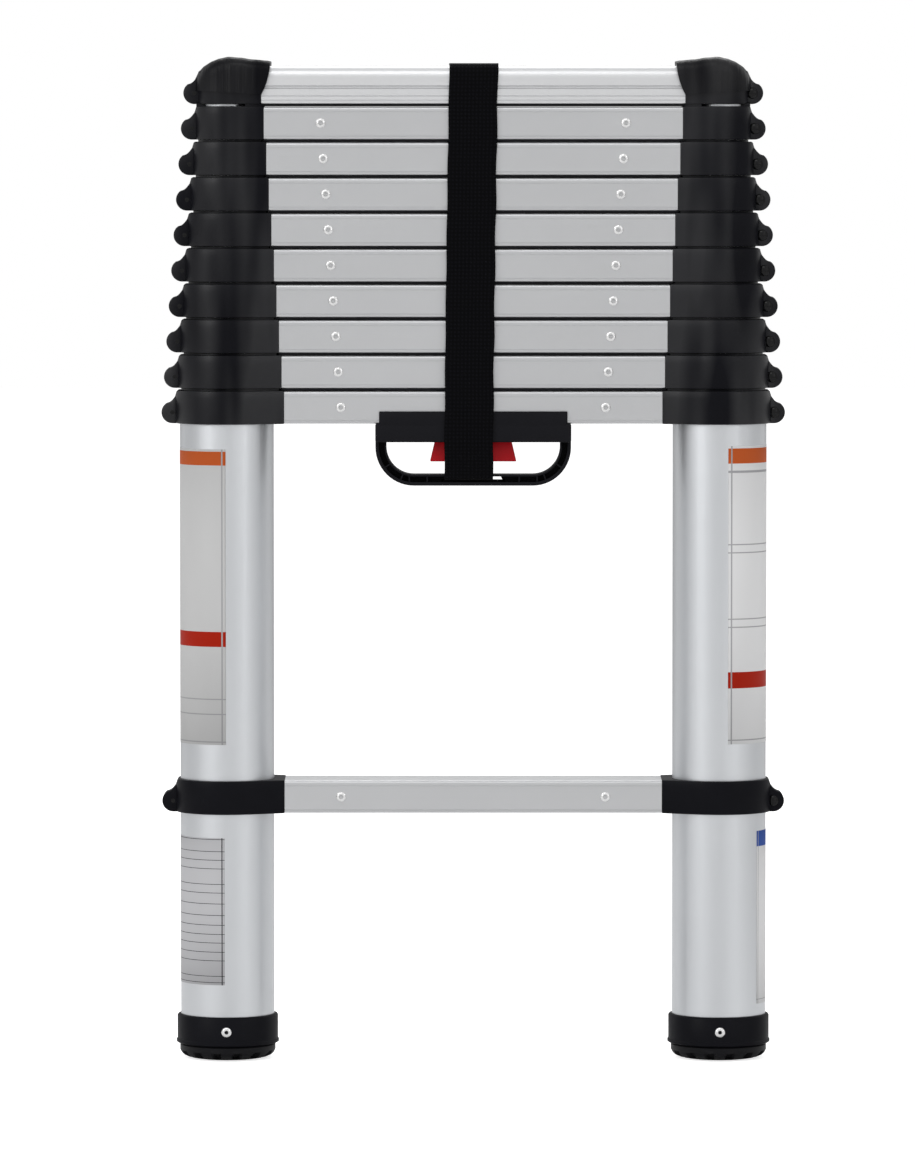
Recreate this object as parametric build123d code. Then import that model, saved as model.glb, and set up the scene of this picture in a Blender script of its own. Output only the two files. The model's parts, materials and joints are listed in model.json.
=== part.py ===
from build123d import *
from math import acos, atan2, cos, degrees, pi, sin, sqrt
import os

# A telescoping ladder, closed for carrying. Millimetres, +Z up, the front towards -Y.
# The origin is on the ground, midway between the two columns. Level 0 is the fixed bottom rung,
# and levels 1 to SECTIONS are the rungs at the top of each pair of tubes. Each column is made in
# its own frame, the tube's axis at x = 0 and the ladder's middle towards +X, then placed twice.

# Driving dimensions: the whole ladder
SECTIONS = 10
RUNG_SPACING = 304.8
COLUMN_SPACING = 386.0
BOTTOM_RUNG_LEVEL = 207.0

# Tubes
BASE_TUBE_DIAMETER = 73.5
TUBE_WALL = 1.5
TUBE_CLEARANCE = 0.45
SLIDING_TUBE_LENGTH = 375.0

# Rungs
RUNG_HEIGHT = 25.4
RUNG_GAP = 2.3
RUNG_DEPTH = 50.0
RUNG_WALL = 1.6
RUNG_CORNER = 2.0
TREAD_GROOVE_WIDTH = 1.6
TREAD_GROOVE_DEPTH = 0.6
TREAD_GROOVE_COUNT = 7
TOP_RUNG_RISE = 4.0
TOP_RUNG_ROUND = 9.0
TOP_RUNG_WALL = 2.1
TOP_RUNG_CORNER_WEB = 1.9
TOP_RUNG_GROOVES = [(12.8, 3.1, 1.2), (5.8, 0.6, 0.4), (2.3, 0.9, 0.5)]  # height, width, depth

# Collars
COLLAR_GAP = 1.6
COLLAR_WALL = 4.2
COLLAR_REACH = 8.7
COLLAR_SIDE = 1.0
LIP_THICKNESS = 3.0
LIP_CLEARANCE = 0.3
TENON_LENGTH = 55.0
TENON_CORNER = 1.0
LUG_REACH = 14.2
LUG_RADIUS = 8.6
LUG_THICKNESS = 18.0
LUG_SLOT = 1.5
STOP_PAD_THICKNESS = 4.5
SEAT_CLEARANCE = 0.05
FIT_CLEARANCE = 0.15

# Lock pins and springs
PIN_RADIUS = 5.0
PIN_CLEARANCE = 0.1
PIN_HOLE_CLEARANCE = 0.4
PIN_TIP_GAP = 0.3
PIN_GUIDE_LENGTH = 17.5
PIN_FLANGE_RADIUS = 7.0
PIN_FLANGE_THICKNESS = 3.0
PIN_RETRACTION = 4.2
PIN_SLACK = 0.3
SPRING_CHAMBER_RADIUS = 7.6
SPRING_CHAMBER_WALL = 5.0
SPRING_WIRE = 1.0
SPRING_TURNS = 7
ROD_RADIUS = 2.5
ROD_CLEARANCE = 0.3
ROD_TAIL = 4.0

# Fasteners
RIVET_INSET = 44.2
RIVET_HEAD_RADIUS = 3.9
RIVET_HEAD_HEIGHT = 1.3
RIVET_SHANK_RADIUS = 2.4
RIVET_LENGTH = 11.0
RIVET_BORE_RADIUS = 1.1
SCREW_RADIUS = 2.0
SCREW_HEAD_RADIUS = 3.1
SCREW_HEAD_HEIGHT = 2.4
SCREW_RECESS = 2.0
SCREW_RECESS_RADIUS = 4.4
SCREW_TAIL_RECESS = 1.0
HANDLE_SCREW_OFFSET = 58.0

# Guide bushes in the lower ends of the sliding tubes
GUIDE_HEIGHT = 12.0
GUIDE_WALL = 2.5
GUIDE_FLANGE = 2.5
GUIDE_PROUD = 0.15
GUIDE_VENT_RADIUS = 4.0

# Feet
SOCKET_RADIUS = 40.25
SOCKET_HEIGHT = 23.0
SOCKET_FLOOR = 4.0
PAD_RADIUS = 37.5
PAD_HEIGHT = 11.7
PAD_REST_RADIUS = 27.0
PAD_CHAMFER = 6.5
PAD_CHAMFER_STEP = 3.575
PAD_SPIGOT_RADIUS = 18.0
PAD_SPIGOT_HEIGHT = 3.0
PAD_NOTCHES = 14
PAD_NOTCH_WIDTH = 4.2
PAD_NOTCH_DEPTH = 3.4

# End caps
CAP_WALL = 2.9
CAP_CROWN = 8.1
CAP_SHOULDER_RISE = 4.1
CAP_FALL = 1.8
CAP_LIP_HEIGHT = 3.4
CAP_END_SHARE = 0.55
CAP_BULGE_SHARE = (0.74, 0.825)
CAP_FALL_SHARE = 0.4
CAP_OVERHANG = 7.7
CAP_SKIRT = 7.0

# Carry handle and release trigger
HANDLE_WIDTH = 153.0
SADDLE_WIDTH = 147.0
SADDLE_LIP = 2.5
SADDLE_LIP_HEIGHT = 9.6
HANDLE_BODY_HEIGHT = 14.5
HANDLE_DROP = 49.0
HANDLE_CORNER = 30.0
GRIP_THICKNESS = 8.5
GRIP_DEPTH = 28.0
GRIP_WEB = 3.0
GRIP_OUTER_FLANGE = 2.9
GRIP_INNER_FLANGE = 1.2
GRIP_RIB = 1.2
GRIP_RIB_PLACES = [36.0, 50.0]
GRIP_RIB_INSET = 0.6
GRIP_RIB_FOOT = 1.0
GRIP_RIB_HEAD = 0.2
STRAP_SLOT_WIDTH = 48.0
STRAP_SLOT_SLANT = 3.0
STRAP_SLOT_SILL = 0.6
TRIGGER_TOP_WIDTH = 60.0
TRIGGER_BOTTOM_WIDTH = 67.6
TRIGGER_HEIGHT = 15.7
TRIGGER_DEPTH = 21.0
TRIGGER_STROKE = 7.0
TRIGGER_CLEARANCE = 0.5
PLATE_THICKNESS = 6.0
PLATE_HALF_WIDTH = 33.0
CAM_PIN_OFFSET = 28.0
CAM_PIN_RADIUS = 1.5
CAM_SLOT_CLEARANCE = 0.35
CAM_SLOT_MARGIN = 1.4
PLATE_NECK_HEIGHT = 8.0
PLATE_SHOULDER_HEIGHT = 5.0
CLEVIS_CHEEK = 2.5
CLEVIS_HALF_HEIGHT = 4.0

# Strap
STRAP_WIDTH = 38.0
STRAP_THICKNESS = 1.8
STRAP_CLEARANCE = 0.4
STRAP_CENTRE = -1.7
STRAP_BENDS = [4.0, 20.0, 40.0]
STRAP_GRIP_REACH = 1.5
STRAP_LIP_START = 2.0

# Shapes that follow from those
COLUMN_X = COLUMN_SPACING / 2
STACK_PITCH = RUNG_HEIGHT + RUNG_GAP
TOP_RUNG_HEIGHT = RUNG_HEIGHT + TOP_RUNG_RISE
CAP_PEAK = TOP_RUNG_HEIGHT + CAP_CROWN
CAP_SHOULDER = TOP_RUNG_HEIGHT + CAP_SHOULDER_RISE
SECTION_STEP = TUBE_WALL + TUBE_CLEARANCE
TRAVEL = RUNG_SPACING - STACK_PITCH
COLLAR_HEIGHT = STACK_PITCH - COLLAR_GAP
TUBE_TOP_OFFSET = COLLAR_HEIGHT / 2 - LIP_THICKNESS


def tube_radius(level):
    """Outer radius of the tube that carries this level. Level 0 sits on the base tube."""
    return BASE_TUBE_DIAMETER / 2 - (max(level, 1) - 1) * SECTION_STEP


def rung_middle(level):
    """Height of a rung's middle, closed."""
    if level == 0:
        return BOTTOM_RUNG_LEVEL
    return BOTTOM_RUNG_LEVEL + RUNG_SPACING + (level - 1) * STACK_PITCH


def rung_bottom(level):
    return rung_middle(level) - RUNG_HEIGHT / 2


def collar_bottom(level):
    return rung_middle(level) - COLLAR_HEIGHT / 2


def collar_face(level):
    """Distance from the tube's axis to the collar's flat face, where the rung starts."""
    return tube_radius(level) + COLLAR_REACH


def tube_top(level):
    return rung_middle(level) + TUBE_TOP_OFFSET


def tube_bottom(level):
    if level == 1:
        return PAD_HEIGHT + SOCKET_FLOOR
    return tube_top(level) - SLIDING_TUBE_LENGTH


def disc(radius, height, z=0.0):
    """Upright cylinder that starts at z."""
    return Pos(0, 0, z) * extrude(Circle(radius), height)


def bar(x0, x1, y0, y1, z0, z1):
    """Box between two corners."""
    middle = Pos((x0 + x1) / 2, (y0 + y1) / 2, (z0 + z1) / 2)
    return middle * Box(x1 - x0, y1 - y0, z1 - z0)


def rod_x(radius, x0, x1, z=0.0):
    """Cylinder along X."""
    return Pos(x0, 0, z) * Rot(0, 90, 0) * extrude(Circle(radius), x1 - x0)


def rod_y(radius, x, y0, y1, z):
    """Cylinder along +Y."""
    return Pos(x, y0, z) * Rot(-90, 0, 0) * extrude(Circle(radius), y1 - y0)


def both_columns(shape):
    """The same moulding on both sides: the right-hand one is turned half round."""
    left = Pos(-COLUMN_X, 0, 0) * shape
    right = Pos(COLUMN_X, 0, 0) * Rot(0, 0, 180) * shape
    return [left, right]


def write(name, solids):
    flat = []
    for shape in solids:
        flat.extend(shape.solids())
    for number, solid in enumerate(flat, 1):
        solid.label = f"{name}_{number}"
    export_step(Compound(children=flat, label=name), f"parts/{name}.step")


# Tubes

def tube(level):
    """One drawn tube. The hole near its lower end meets the lock pin of the level below when the
    section is out, and the one near its top lets its own collar's pin through."""
    radius = tube_radius(level)
    bottom = tube_bottom(level)
    length = tube_top(level) - bottom
    body = disc(radius, length, bottom) - disc(radius - TUBE_WALL, length, bottom)
    hole = PIN_RADIUS + PIN_HOLE_CLEARANCE
    if level > 1:
        locked = rung_middle(level - 1) - TRAVEL
        body -= rod_x(hole, radius / 2, radius + 1, locked)
    if level < SECTIONS:
        body -= rod_x(hole, radius / 2, radius + 1, rung_middle(level))
    if level == 1:
        foot_hole = RIVET_SHANK_RADIUS + SEAT_CLEARANCE
        body -= rod_y(foot_hole, 0, -radius - 1, radius + 1, foot_rivet_level())
    return body


def guide_bush(level):
    """Nylon plug in the tube's lower end. Its flange runs in the tube outside it."""
    radius = tube_radius(level)
    bottom = tube_bottom(level)
    flange = disc(radius + GUIDE_PROUD, GUIDE_FLANGE, bottom - GUIDE_FLANGE)
    plug = disc(radius - TUBE_WALL - SEAT_CLEARANCE, GUIDE_HEIGHT, bottom)
    hollow = disc(radius - TUBE_WALL - GUIDE_WALL, GUIDE_HEIGHT, bottom)
    vent = disc(GUIDE_VENT_RADIUS, GUIDE_FLANGE, bottom - GUIDE_FLANGE)
    return flange + plug - hollow - vent


# Collars

def collar_outline(level, grow=0.0):
    """Plan of a collar: a ring with straight flanks that run out to the rung's end."""
    ring = tube_radius(level) + COLLAR_WALL + grow
    corner_x = collar_face(level) + grow
    corner_y = RUNG_DEPTH / 2 + COLLAR_SIDE + grow
    turn = atan2(corner_y, corner_x) + acos(ring / sqrt(corner_x**2 + corner_y**2))
    touch = (ring * cos(turn), ring * sin(turn))
    corners = [
        (touch[0], touch[1]),
        (corner_x, corner_y),
        (corner_x, -corner_y),
        (touch[0], -touch[1]),
    ]
    return Circle(ring) + make_face(Polyline(*corners, close=True))


def lug_centre(level):
    """Where the clamp screw passes, as x and z in the column's frame."""
    x = -(tube_radius(level) + LUG_REACH - LUG_RADIUS)
    return x, collar_bottom(level) + LUG_RADIUS + SEAT_CLEARANCE


def clamp_lug(level):
    """Rounded ear on the outside of the collar, with a sloping shoulder above it."""
    x, z = lug_centre(level)
    inner = -(tube_radius(level) + COLLAR_WALL / 2)
    ring_side = -(tube_radius(level) + COLLAR_WALL)
    slope = LUG_RADIUS * sin(pi / 4)
    shoulder = [
        (inner, collar_bottom(level) + SEAT_CLEARANCE),
        (x, collar_bottom(level) + SEAT_CLEARANCE),
        (x - slope, z + slope),
        (ring_side, collar_bottom(level) + COLLAR_HEIGHT - SEAT_CLEARANCE),
        (inner, collar_bottom(level) + COLLAR_HEIGHT - SEAT_CLEARANCE),
    ]
    web = extrude(Plane.XZ * make_face(Polyline(*shoulder, close=True)), LUG_THICKNESS / 2, both=True)
    ear = rod_y(LUG_RADIUS, x, -LUG_THICKNESS / 2, LUG_THICKNESS / 2, z)
    return web + ear


def lug_cuts(level):
    """The screw's hole, its head's recess on the +Y side, the nut's on the other, and the split."""
    x, z = lug_centre(level)
    half = LUG_THICKNESS / 2
    hole = rod_y(SCREW_RADIUS + SEAT_CLEARANCE, x, -half, half, z)
    recess = rod_y(SCREW_RECESS_RADIUS, x, half - SCREW_RECESS, half, z)
    tail = rod_y(SCREW_RECESS_RADIUS, x, -half, SCREW_TAIL_RECESS - half, z)
    outer = tube_radius(level) + LUG_REACH
    top = collar_bottom(level) + COLLAR_HEIGHT
    split = bar(-outer, -tube_radius(level) + 1, -LUG_SLOT / 2, LUG_SLOT / 2, collar_bottom(level), top)
    return [hole, recess, tail, split]


def tenon(level):
    """Block that fills the rung's end, with the lock pin's guide and spring chamber in it."""
    wall = TOP_RUNG_WALL if level == SECTIONS else RUNG_WALL
    start = collar_face(level)
    end = start + TENON_LENGTH
    half_depth = RUNG_DEPTH / 2 - wall - FIT_CLEARANCE
    half_height = RUNG_HEIGHT / 2 - RUNG_WALL - FIT_CLEARANCE
    middle = rung_middle(level)
    section = RectangleRounded(2 * half_depth, 2 * half_height, TENON_CORNER)
    block = Pos(start, 0, middle) * Rot(0, 90, 0) * Rot(0, 0, 90) * extrude(section, TENON_LENGTH)
    for side in (-1, 1) if level < SECTIONS else ():
        face = side * half_depth
        inward = face - side * (RIVET_LENGTH - wall)
        low, high = sorted((face, inward))
        rivet_hole = rod_y(RIVET_SHANK_RADIUS + SEAT_CLEARANCE, start + RIVET_INSET, low, high, middle)
        block -= rivet_hole
    return block, end


def collar(level):
    """One moulded collar: ring, flat rung end, tenon, lip round the next tube and clamp lug."""
    radius = tube_radius(level)
    bottom = collar_bottom(level)
    middle = rung_middle(level)
    body = Pos(0, 0, bottom) * extrude(collar_outline(level), COLLAR_HEIGHT)
    block, end = tenon(level)
    body = body + block + clamp_lug(level)
    bore = radius + SEAT_CLEARANCE
    if level == 0:
        body -= disc(bore, COLLAR_HEIGHT, bottom)
    elif level == SECTIONS:
        body -= disc(bore, COLLAR_HEIGHT - LIP_THICKNESS, bottom)
    else:
        body -= disc(bore, COLLAR_HEIGHT - LIP_THICKNESS, bottom)
        lip = tube_radius(level + 1) + LIP_CLEARANCE
        body -= disc(lip, COLLAR_HEIGHT, bottom)
    for cut in lug_cuts(level):
        body -= cut
    chamber_start = radius + PIN_GUIDE_LENGTH
    chamber_end = end - SPRING_CHAMBER_WALL
    if 0 < level < SECTIONS:
        body -= rod_x(PIN_RADIUS + PIN_CLEARANCE, radius / 2, chamber_start + 1, middle)
        body -= rod_x(ROD_RADIUS + ROD_CLEARANCE, chamber_end - 1, end + 1, middle)
        body -= rod_x(SPRING_CHAMBER_RADIUS, chamber_start, chamber_end, middle)
        top = bottom + COLLAR_HEIGHT
        pad_x = tube_radius(level) + COLLAR_REACH - STOP_PAD_THICKNESS - SECTION_STEP
        pad_y = RUNG_DEPTH / 2 - COLLAR_SIDE
        body += bar(pad_x, pad_x + STOP_PAD_THICKNESS, -pad_y, pad_y, top, top + COLLAR_GAP)
    return body


# Lock pins, springs, rivets and screws

def pin_flange(level):
    """Where the pin's flange starts, along the column's x."""
    return tube_radius(level) + PIN_GUIDE_LENGTH + PIN_RETRACTION + PIN_SLACK


def lock_pin(level):
    """Round pin with a flange for its spring and a thin rod out through the tenon's end."""
    middle = rung_middle(level)
    tip = tube_radius(level + 1) + PIN_TIP_GAP
    flange = pin_flange(level)
    tail = collar_face(level) + TENON_LENGTH + ROD_TAIL
    nose = rod_x(PIN_RADIUS, tip, flange, middle)
    nose = chamfer(nose.edges().sort_by(Axis.X)[0], PIN_TIP_GAP * 2)
    disc_part = rod_x(PIN_FLANGE_RADIUS, flange, flange + PIN_FLANGE_THICKNESS, middle)
    rod = rod_x(ROD_RADIUS, flange + PIN_FLANGE_THICKNESS, tail, middle)
    return nose + disc_part + rod


def lock_spring(level):
    """Coil between the pin's flange and the chamber's end wall."""
    start = pin_flange(level) + PIN_FLANGE_THICKNESS + SPRING_WIRE / 2
    end = collar_face(level) + TENON_LENGTH - SPRING_CHAMBER_WALL - SPRING_WIRE / 2
    coil = (PIN_FLANGE_RADIUS + ROD_RADIUS) / 2
    path = Helix(pitch=(end - start) / SPRING_TURNS, height=end - start, radius=coil)
    wire = sweep(Plane(origin=path @ 0, z_dir=path % 0) * Circle(SPRING_WIRE / 2), path=path, is_frenet=True)
    return Pos(start, 0, rung_middle(level)) * Rot(0, 90, 0) * wire


def rivet(x, face, side, z):
    """Blind rivet along Y, its head on the face that looks towards side (-1 front, 1 back)."""
    head = rod_y(RIVET_HEAD_RADIUS, x, 0, RIVET_HEAD_HEIGHT, z)
    head = chamfer(head.edges().sort_by(Axis.Y)[-1], RIVET_HEAD_HEIGHT * 0.6)
    shank = rod_y(RIVET_SHANK_RADIUS, x, -RIVET_LENGTH, 0, z)
    bore = rod_y(RIVET_BORE_RADIUS, x, -RIVET_LENGTH / 2, RIVET_HEAD_HEIGHT, z)
    outward = head + shank - bore
    if side < 0:
        outward = mirror(outward, about=Plane.XZ)
    return Pos(0, side * face, 0) * outward


def rung_rivets(level):
    x = collar_face(level) + RIVET_INSET
    return [rivet(x, RUNG_DEPTH / 2, side, rung_middle(level)) for side in (-1, 1)]


def clamp_screw(level):
    """Domed screw through the lug, its head towards +Y."""
    x, z = lug_centre(level)
    half = LUG_THICKNESS / 2
    seat = half - SCREW_RECESS
    shank = rod_y(SCREW_RADIUS, x, -half + SEAT_CLEARANCE, seat, z)
    head = rod_y(SCREW_HEAD_RADIUS, x, seat, seat + SCREW_HEAD_HEIGHT, z)
    head = fillet(head.edges().sort_by(Axis.Y)[-1], SCREW_HEAD_HEIGHT * 0.8)
    return shank + head


def column_fasteners(level):
    """The top rung has no rivets: its ends are held by the end caps."""
    rivets = rung_rivets(level) if level < SECTIONS else []
    shapes = []
    for shape in rivets + [clamp_screw(level)]:
        shapes.extend(both_columns(shape))
    return shapes


# Rungs

def along_x(section, level):
    """A profile drawn with y across and z up, run between the two collars of a level."""
    half = COLUMN_X - collar_face(level)
    return extrude(Plane.YZ * section, half, both=True)


def plain_rung(level):
    """Box extrusion with rounded corners and grooves along its tread."""
    middle = rung_middle(level)
    outer = RectangleRounded(RUNG_DEPTH, RUNG_HEIGHT, RUNG_CORNER)
    inner = Rectangle(RUNG_DEPTH - 2 * RUNG_WALL, RUNG_HEIGHT - 2 * RUNG_WALL)
    section = outer - inner
    pitch = RUNG_DEPTH / (TREAD_GROOVE_COUNT + 1)
    for number in range(TREAD_GROOVE_COUNT):
        y = (number - (TREAD_GROOVE_COUNT - 1) / 2) * pitch
        section -= Pos(y, RUNG_HEIGHT / 2) * Rectangle(TREAD_GROOVE_WIDTH, 2 * TREAD_GROOVE_DEPTH)
    body = Pos(0, 0, middle) * along_x(section, level)
    return body - rivet_holes(level)


def rivet_holes(level):
    x = COLUMN_X - collar_face(level) - RIVET_INSET
    radius = RIVET_SHANK_RADIUS + SEAT_CLEARANCE
    holes = [rod_y(radius, side * x, -RUNG_DEPTH, RUNG_DEPTH, rung_middle(level)) for side in (-1, 1)]
    return holes


def release_rung():
    """Rung 1, with the slot in its floor for the trigger's plate and holes for the handle's screws."""
    body = plain_rung(1)
    half = PLATE_HALF_WIDTH + TRIGGER_CLEARANCE
    gap = PLATE_THICKNESS / 2 + TRIGGER_CLEARANCE
    low = rung_bottom(1)
    body -= bar(-half, half, -gap, gap, low - 1, low + RUNG_WALL + 1)
    for side in (-1, 1):
        hole = Pos(side * HANDLE_SCREW_OFFSET, 0, 0)
        body -= hole * disc(SCREW_RADIUS + SEAT_CLEARANCE, RUNG_WALL + 2, low - 1)
    return body


def top_rung():
    """Taller profile with a rounded top, a broad groove and three fine lines along each face."""
    half = RUNG_DEPTH / 2
    outer = Pos(0, TOP_RUNG_HEIGHT / 2) * Rectangle(RUNG_DEPTH, TOP_RUNG_HEIGHT)
    outer = fillet(outer.vertices().group_by(Axis.Y)[-1], TOP_RUNG_ROUND)
    outer = fillet(outer.vertices().group_by(Axis.Y)[0], RUNG_CORNER / 2)
    inner_height = TOP_RUNG_HEIGHT - RUNG_WALL - TOP_RUNG_WALL
    inner = Rectangle(RUNG_DEPTH - 2 * TOP_RUNG_WALL, inner_height)
    inner_round = TOP_RUNG_ROUND - TOP_RUNG_WALL - TOP_RUNG_CORNER_WEB
    inner = fillet(inner.vertices().group_by(Axis.Y)[-1], inner_round)
    section = outer - Pos(0, RUNG_WALL + inner_height / 2) * inner
    for height, width, depth in TOP_RUNG_GROOVES:
        for side in (-1, 1):
            section -= Pos(side * half, height) * Rectangle(2 * depth, width)
    return Pos(0, 0, rung_bottom(SECTIONS)) * along_x(section, SECTIONS)


# End caps

def cap_outline(level):
    """Side view of an end cap: a domed top that runs down to a lip over the rung's end."""
    bottom = rung_bottom(level)
    outer = tube_radius(level) + COLLAR_WALL + CAP_WALL
    tip = collar_face(level) + CAP_OVERHANG
    crown = Spline(
        (-outer, bottom + CAP_PEAK * CAP_END_SHARE),
        (-outer * CAP_BULGE_SHARE[0], bottom + CAP_PEAK * CAP_BULGE_SHARE[1]),
        (0, bottom + CAP_PEAK),
        (tip * CAP_FALL_SHARE, bottom + CAP_PEAK - CAP_FALL),
        (tip - 1, bottom + CAP_SHOULDER),
        tangents=[(0.3, 1), (1, 0)],
    )
    sides = Polyline(
        (tip - 1, bottom + CAP_SHOULDER),
        (tip, bottom + CAP_SHOULDER - CAP_LIP_HEIGHT),
        (collar_face(level) + CAP_WALL / 5, bottom + CAP_SKIRT),
        (-outer, bottom + CAP_SKIRT + CAP_WALL),
        (-outer, bottom + CAP_PEAK * CAP_END_SHARE),
    )
    return make_face(Plane.XZ * (crown + sides))


def end_cap():
    """Rubbery cap over the top collar and the end of the top rung."""
    level = SECTIONS
    bottom = rung_bottom(level)
    solid = extrude(cap_outline(level), RUNG_DEPTH, both=True)
    plan = collar_outline(level, CAP_WALL)
    tip = collar_face(level) + CAP_OVERHANG
    half = RUNG_DEPTH / 2 + COLLAR_SIDE + CAP_WALL
    plan = plan + Pos(tip / 2, 0) * Rectangle(tip, 2 * half)
    solid = solid & (Pos(0, 0, bottom) * extrude(plan, CAP_PEAK + 1))
    low = collar_bottom(level)
    solid -= Pos(0, 0, low) * extrude(collar_outline(level, SEAT_CLEARANCE), COLLAR_HEIGHT + SEAT_CLEARANCE)
    rung_half = RUNG_DEPTH / 2 + SEAT_CLEARANCE
    height = TOP_RUNG_HEIGHT + SEAT_CLEARANCE
    channel = Pos(0, height / 2) * Rectangle(2 * rung_half, height)
    channel = fillet(channel.vertices().group_by(Axis.Y)[-1], TOP_RUNG_ROUND)
    length = tip + 1 - collar_face(level)
    cut = Pos(collar_face(level), 0, bottom) * extrude(Plane.YZ * channel, length)
    solid -= cut
    x = lug_centre(level)[0]
    side = LUG_THICKNESS / 2 + SCREW_HEAD_HEIGHT
    top = low + COLLAR_HEIGHT + SEAT_CLEARANCE
    return solid - bar(-2 * tip, x + LUG_RADIUS, -side, side, low, top)


# Feet

def foot_socket():
    """Cup riveted over the base tube's lower end."""
    low = PAD_HEIGHT
    outer = disc(SOCKET_RADIUS, SOCKET_HEIGHT, low)
    outer = fillet(outer.edges().sort_by(Axis.Z)[-1], 1.0)
    bore = disc(tube_radius(1) + SEAT_CLEARANCE, SOCKET_HEIGHT, low + SOCKET_FLOOR)
    hole = disc(PAD_SPIGOT_RADIUS + SEAT_CLEARANCE, SOCKET_FLOOR, low)
    body = outer - bore - hole
    body -= rod_y(RIVET_SHANK_RADIUS + SEAT_CLEARANCE, 0, -SOCKET_RADIUS, SOCKET_RADIUS, foot_rivet_level())
    for side in (-1, 1):
        flat = SOCKET_RADIUS - RIVET_HEAD_HEIGHT / 4
        low_y, high_y = sorted((side * flat, side * (SOCKET_RADIUS + 1)))
        body -= rod_y(RIVET_HEAD_RADIUS + SEAT_CLEARANCE, 0, low_y, high_y, foot_rivet_level())
    return body


def foot_rivet_level():
    return PAD_HEIGHT + SOCKET_HEIGHT / 2


def foot_rivets():
    """Front and back rivets through the socket and the tube's wall."""
    face = SOCKET_RADIUS - RIVET_HEAD_HEIGHT / 4
    return [rivet(0, face, side, foot_rivet_level()) for side in (-1, 1)]


def foot_pad():
    """Rubber tread with a chamfered rim, cut by radial notches."""
    profile = Polyline(
        (0, 0),
        (PAD_REST_RADIUS, 0),
        (PAD_RADIUS - PAD_CHAMFER / 3, PAD_CHAMFER_STEP),
        (PAD_RADIUS, PAD_CHAMFER),
        (PAD_RADIUS, PAD_HEIGHT),
        (0, PAD_HEIGHT),
        close=True,
    )
    body = revolve(Plane.XZ * make_face(profile), Axis.Z)
    body += disc(PAD_SPIGOT_RADIUS, PAD_SPIGOT_HEIGHT, PAD_HEIGHT)
    half = PAD_NOTCH_WIDTH / 2
    for number in range(PAD_NOTCHES):
        notch = bar(PAD_REST_RADIUS - 2, PAD_RADIUS + 1, -half, half, -1, PAD_NOTCH_DEPTH)
        body -= Rot(0, 0, 360 * (number + 0.5) / PAD_NOTCHES) * notch
    return body


# Handle, trigger and pull rods

HANDLE_TOP = rung_bottom(1)
BODY_BOTTOM = HANDLE_TOP - HANDLE_BODY_HEIGHT
GRIP_BOTTOM = HANDLE_TOP - HANDLE_DROP
SLOT_LOW = GRIP_BOTTOM + GRIP_OUTER_FLANGE + STRAP_SLOT_SILL
SLOT_HIGH = GRIP_BOTTOM + GRIP_THICKNESS - GRIP_INNER_FLANGE


def loop_outline(inset):
    """Outline of the D below the handle's body, moved inwards by inset."""
    half = HANDLE_WIDTH / 2 - inset
    low = GRIP_BOTTOM + inset
    height = BODY_BOTTOM + 2 - low
    shape = Pos(0, low + height / 2) * Rectangle(2 * half, height)
    return fillet(shape.vertices().group_by(Axis.Y)[0], HANDLE_CORNER - inset)


def grip_loop():
    """The D-shaped grip: a thin web between an outer and an inner flange, stiffened by ribs."""
    frame = loop_outline(0) - loop_outline(GRIP_THICKNESS)
    pocket = loop_outline(GRIP_OUTER_FLANGE) - loop_outline(GRIP_THICKNESS - GRIP_INNER_FLANGE)
    body = extrude(Plane.XZ * frame, GRIP_DEPTH / 2, both=True)
    depth = (GRIP_DEPTH - GRIP_WEB) / 2
    hollow = extrude(Plane.XZ * pocket, depth)
    back = Pos(0, GRIP_DEPTH / 2, 0) * hollow
    front = Pos(0, depth - GRIP_DEPTH / 2, 0) * hollow
    body = body - back - front
    rib_low = GRIP_BOTTOM + GRIP_RIB_FOOT
    rib_high = GRIP_BOTTOM + GRIP_THICKNESS - GRIP_RIB_HEAD
    for place in GRIP_RIB_PLACES:
        for side in (-1, 1):
            x = side * place
            depth_half = GRIP_DEPTH / 2 - GRIP_RIB_INSET
            body += bar(x - GRIP_RIB / 2, x + GRIP_RIB / 2, -depth_half, depth_half, rib_low, rib_high)
    half = STRAP_SLOT_WIDTH / 2
    window = Polyline(
        (-half, SLOT_LOW),
        (half, SLOT_LOW),
        (half - STRAP_SLOT_SLANT, SLOT_HIGH),
        (-half + STRAP_SLOT_SLANT, SLOT_HIGH),
        close=True,
    )
    body -= extrude(Plane.XZ * make_face(window), GRIP_DEPTH, both=True)
    return body


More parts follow.
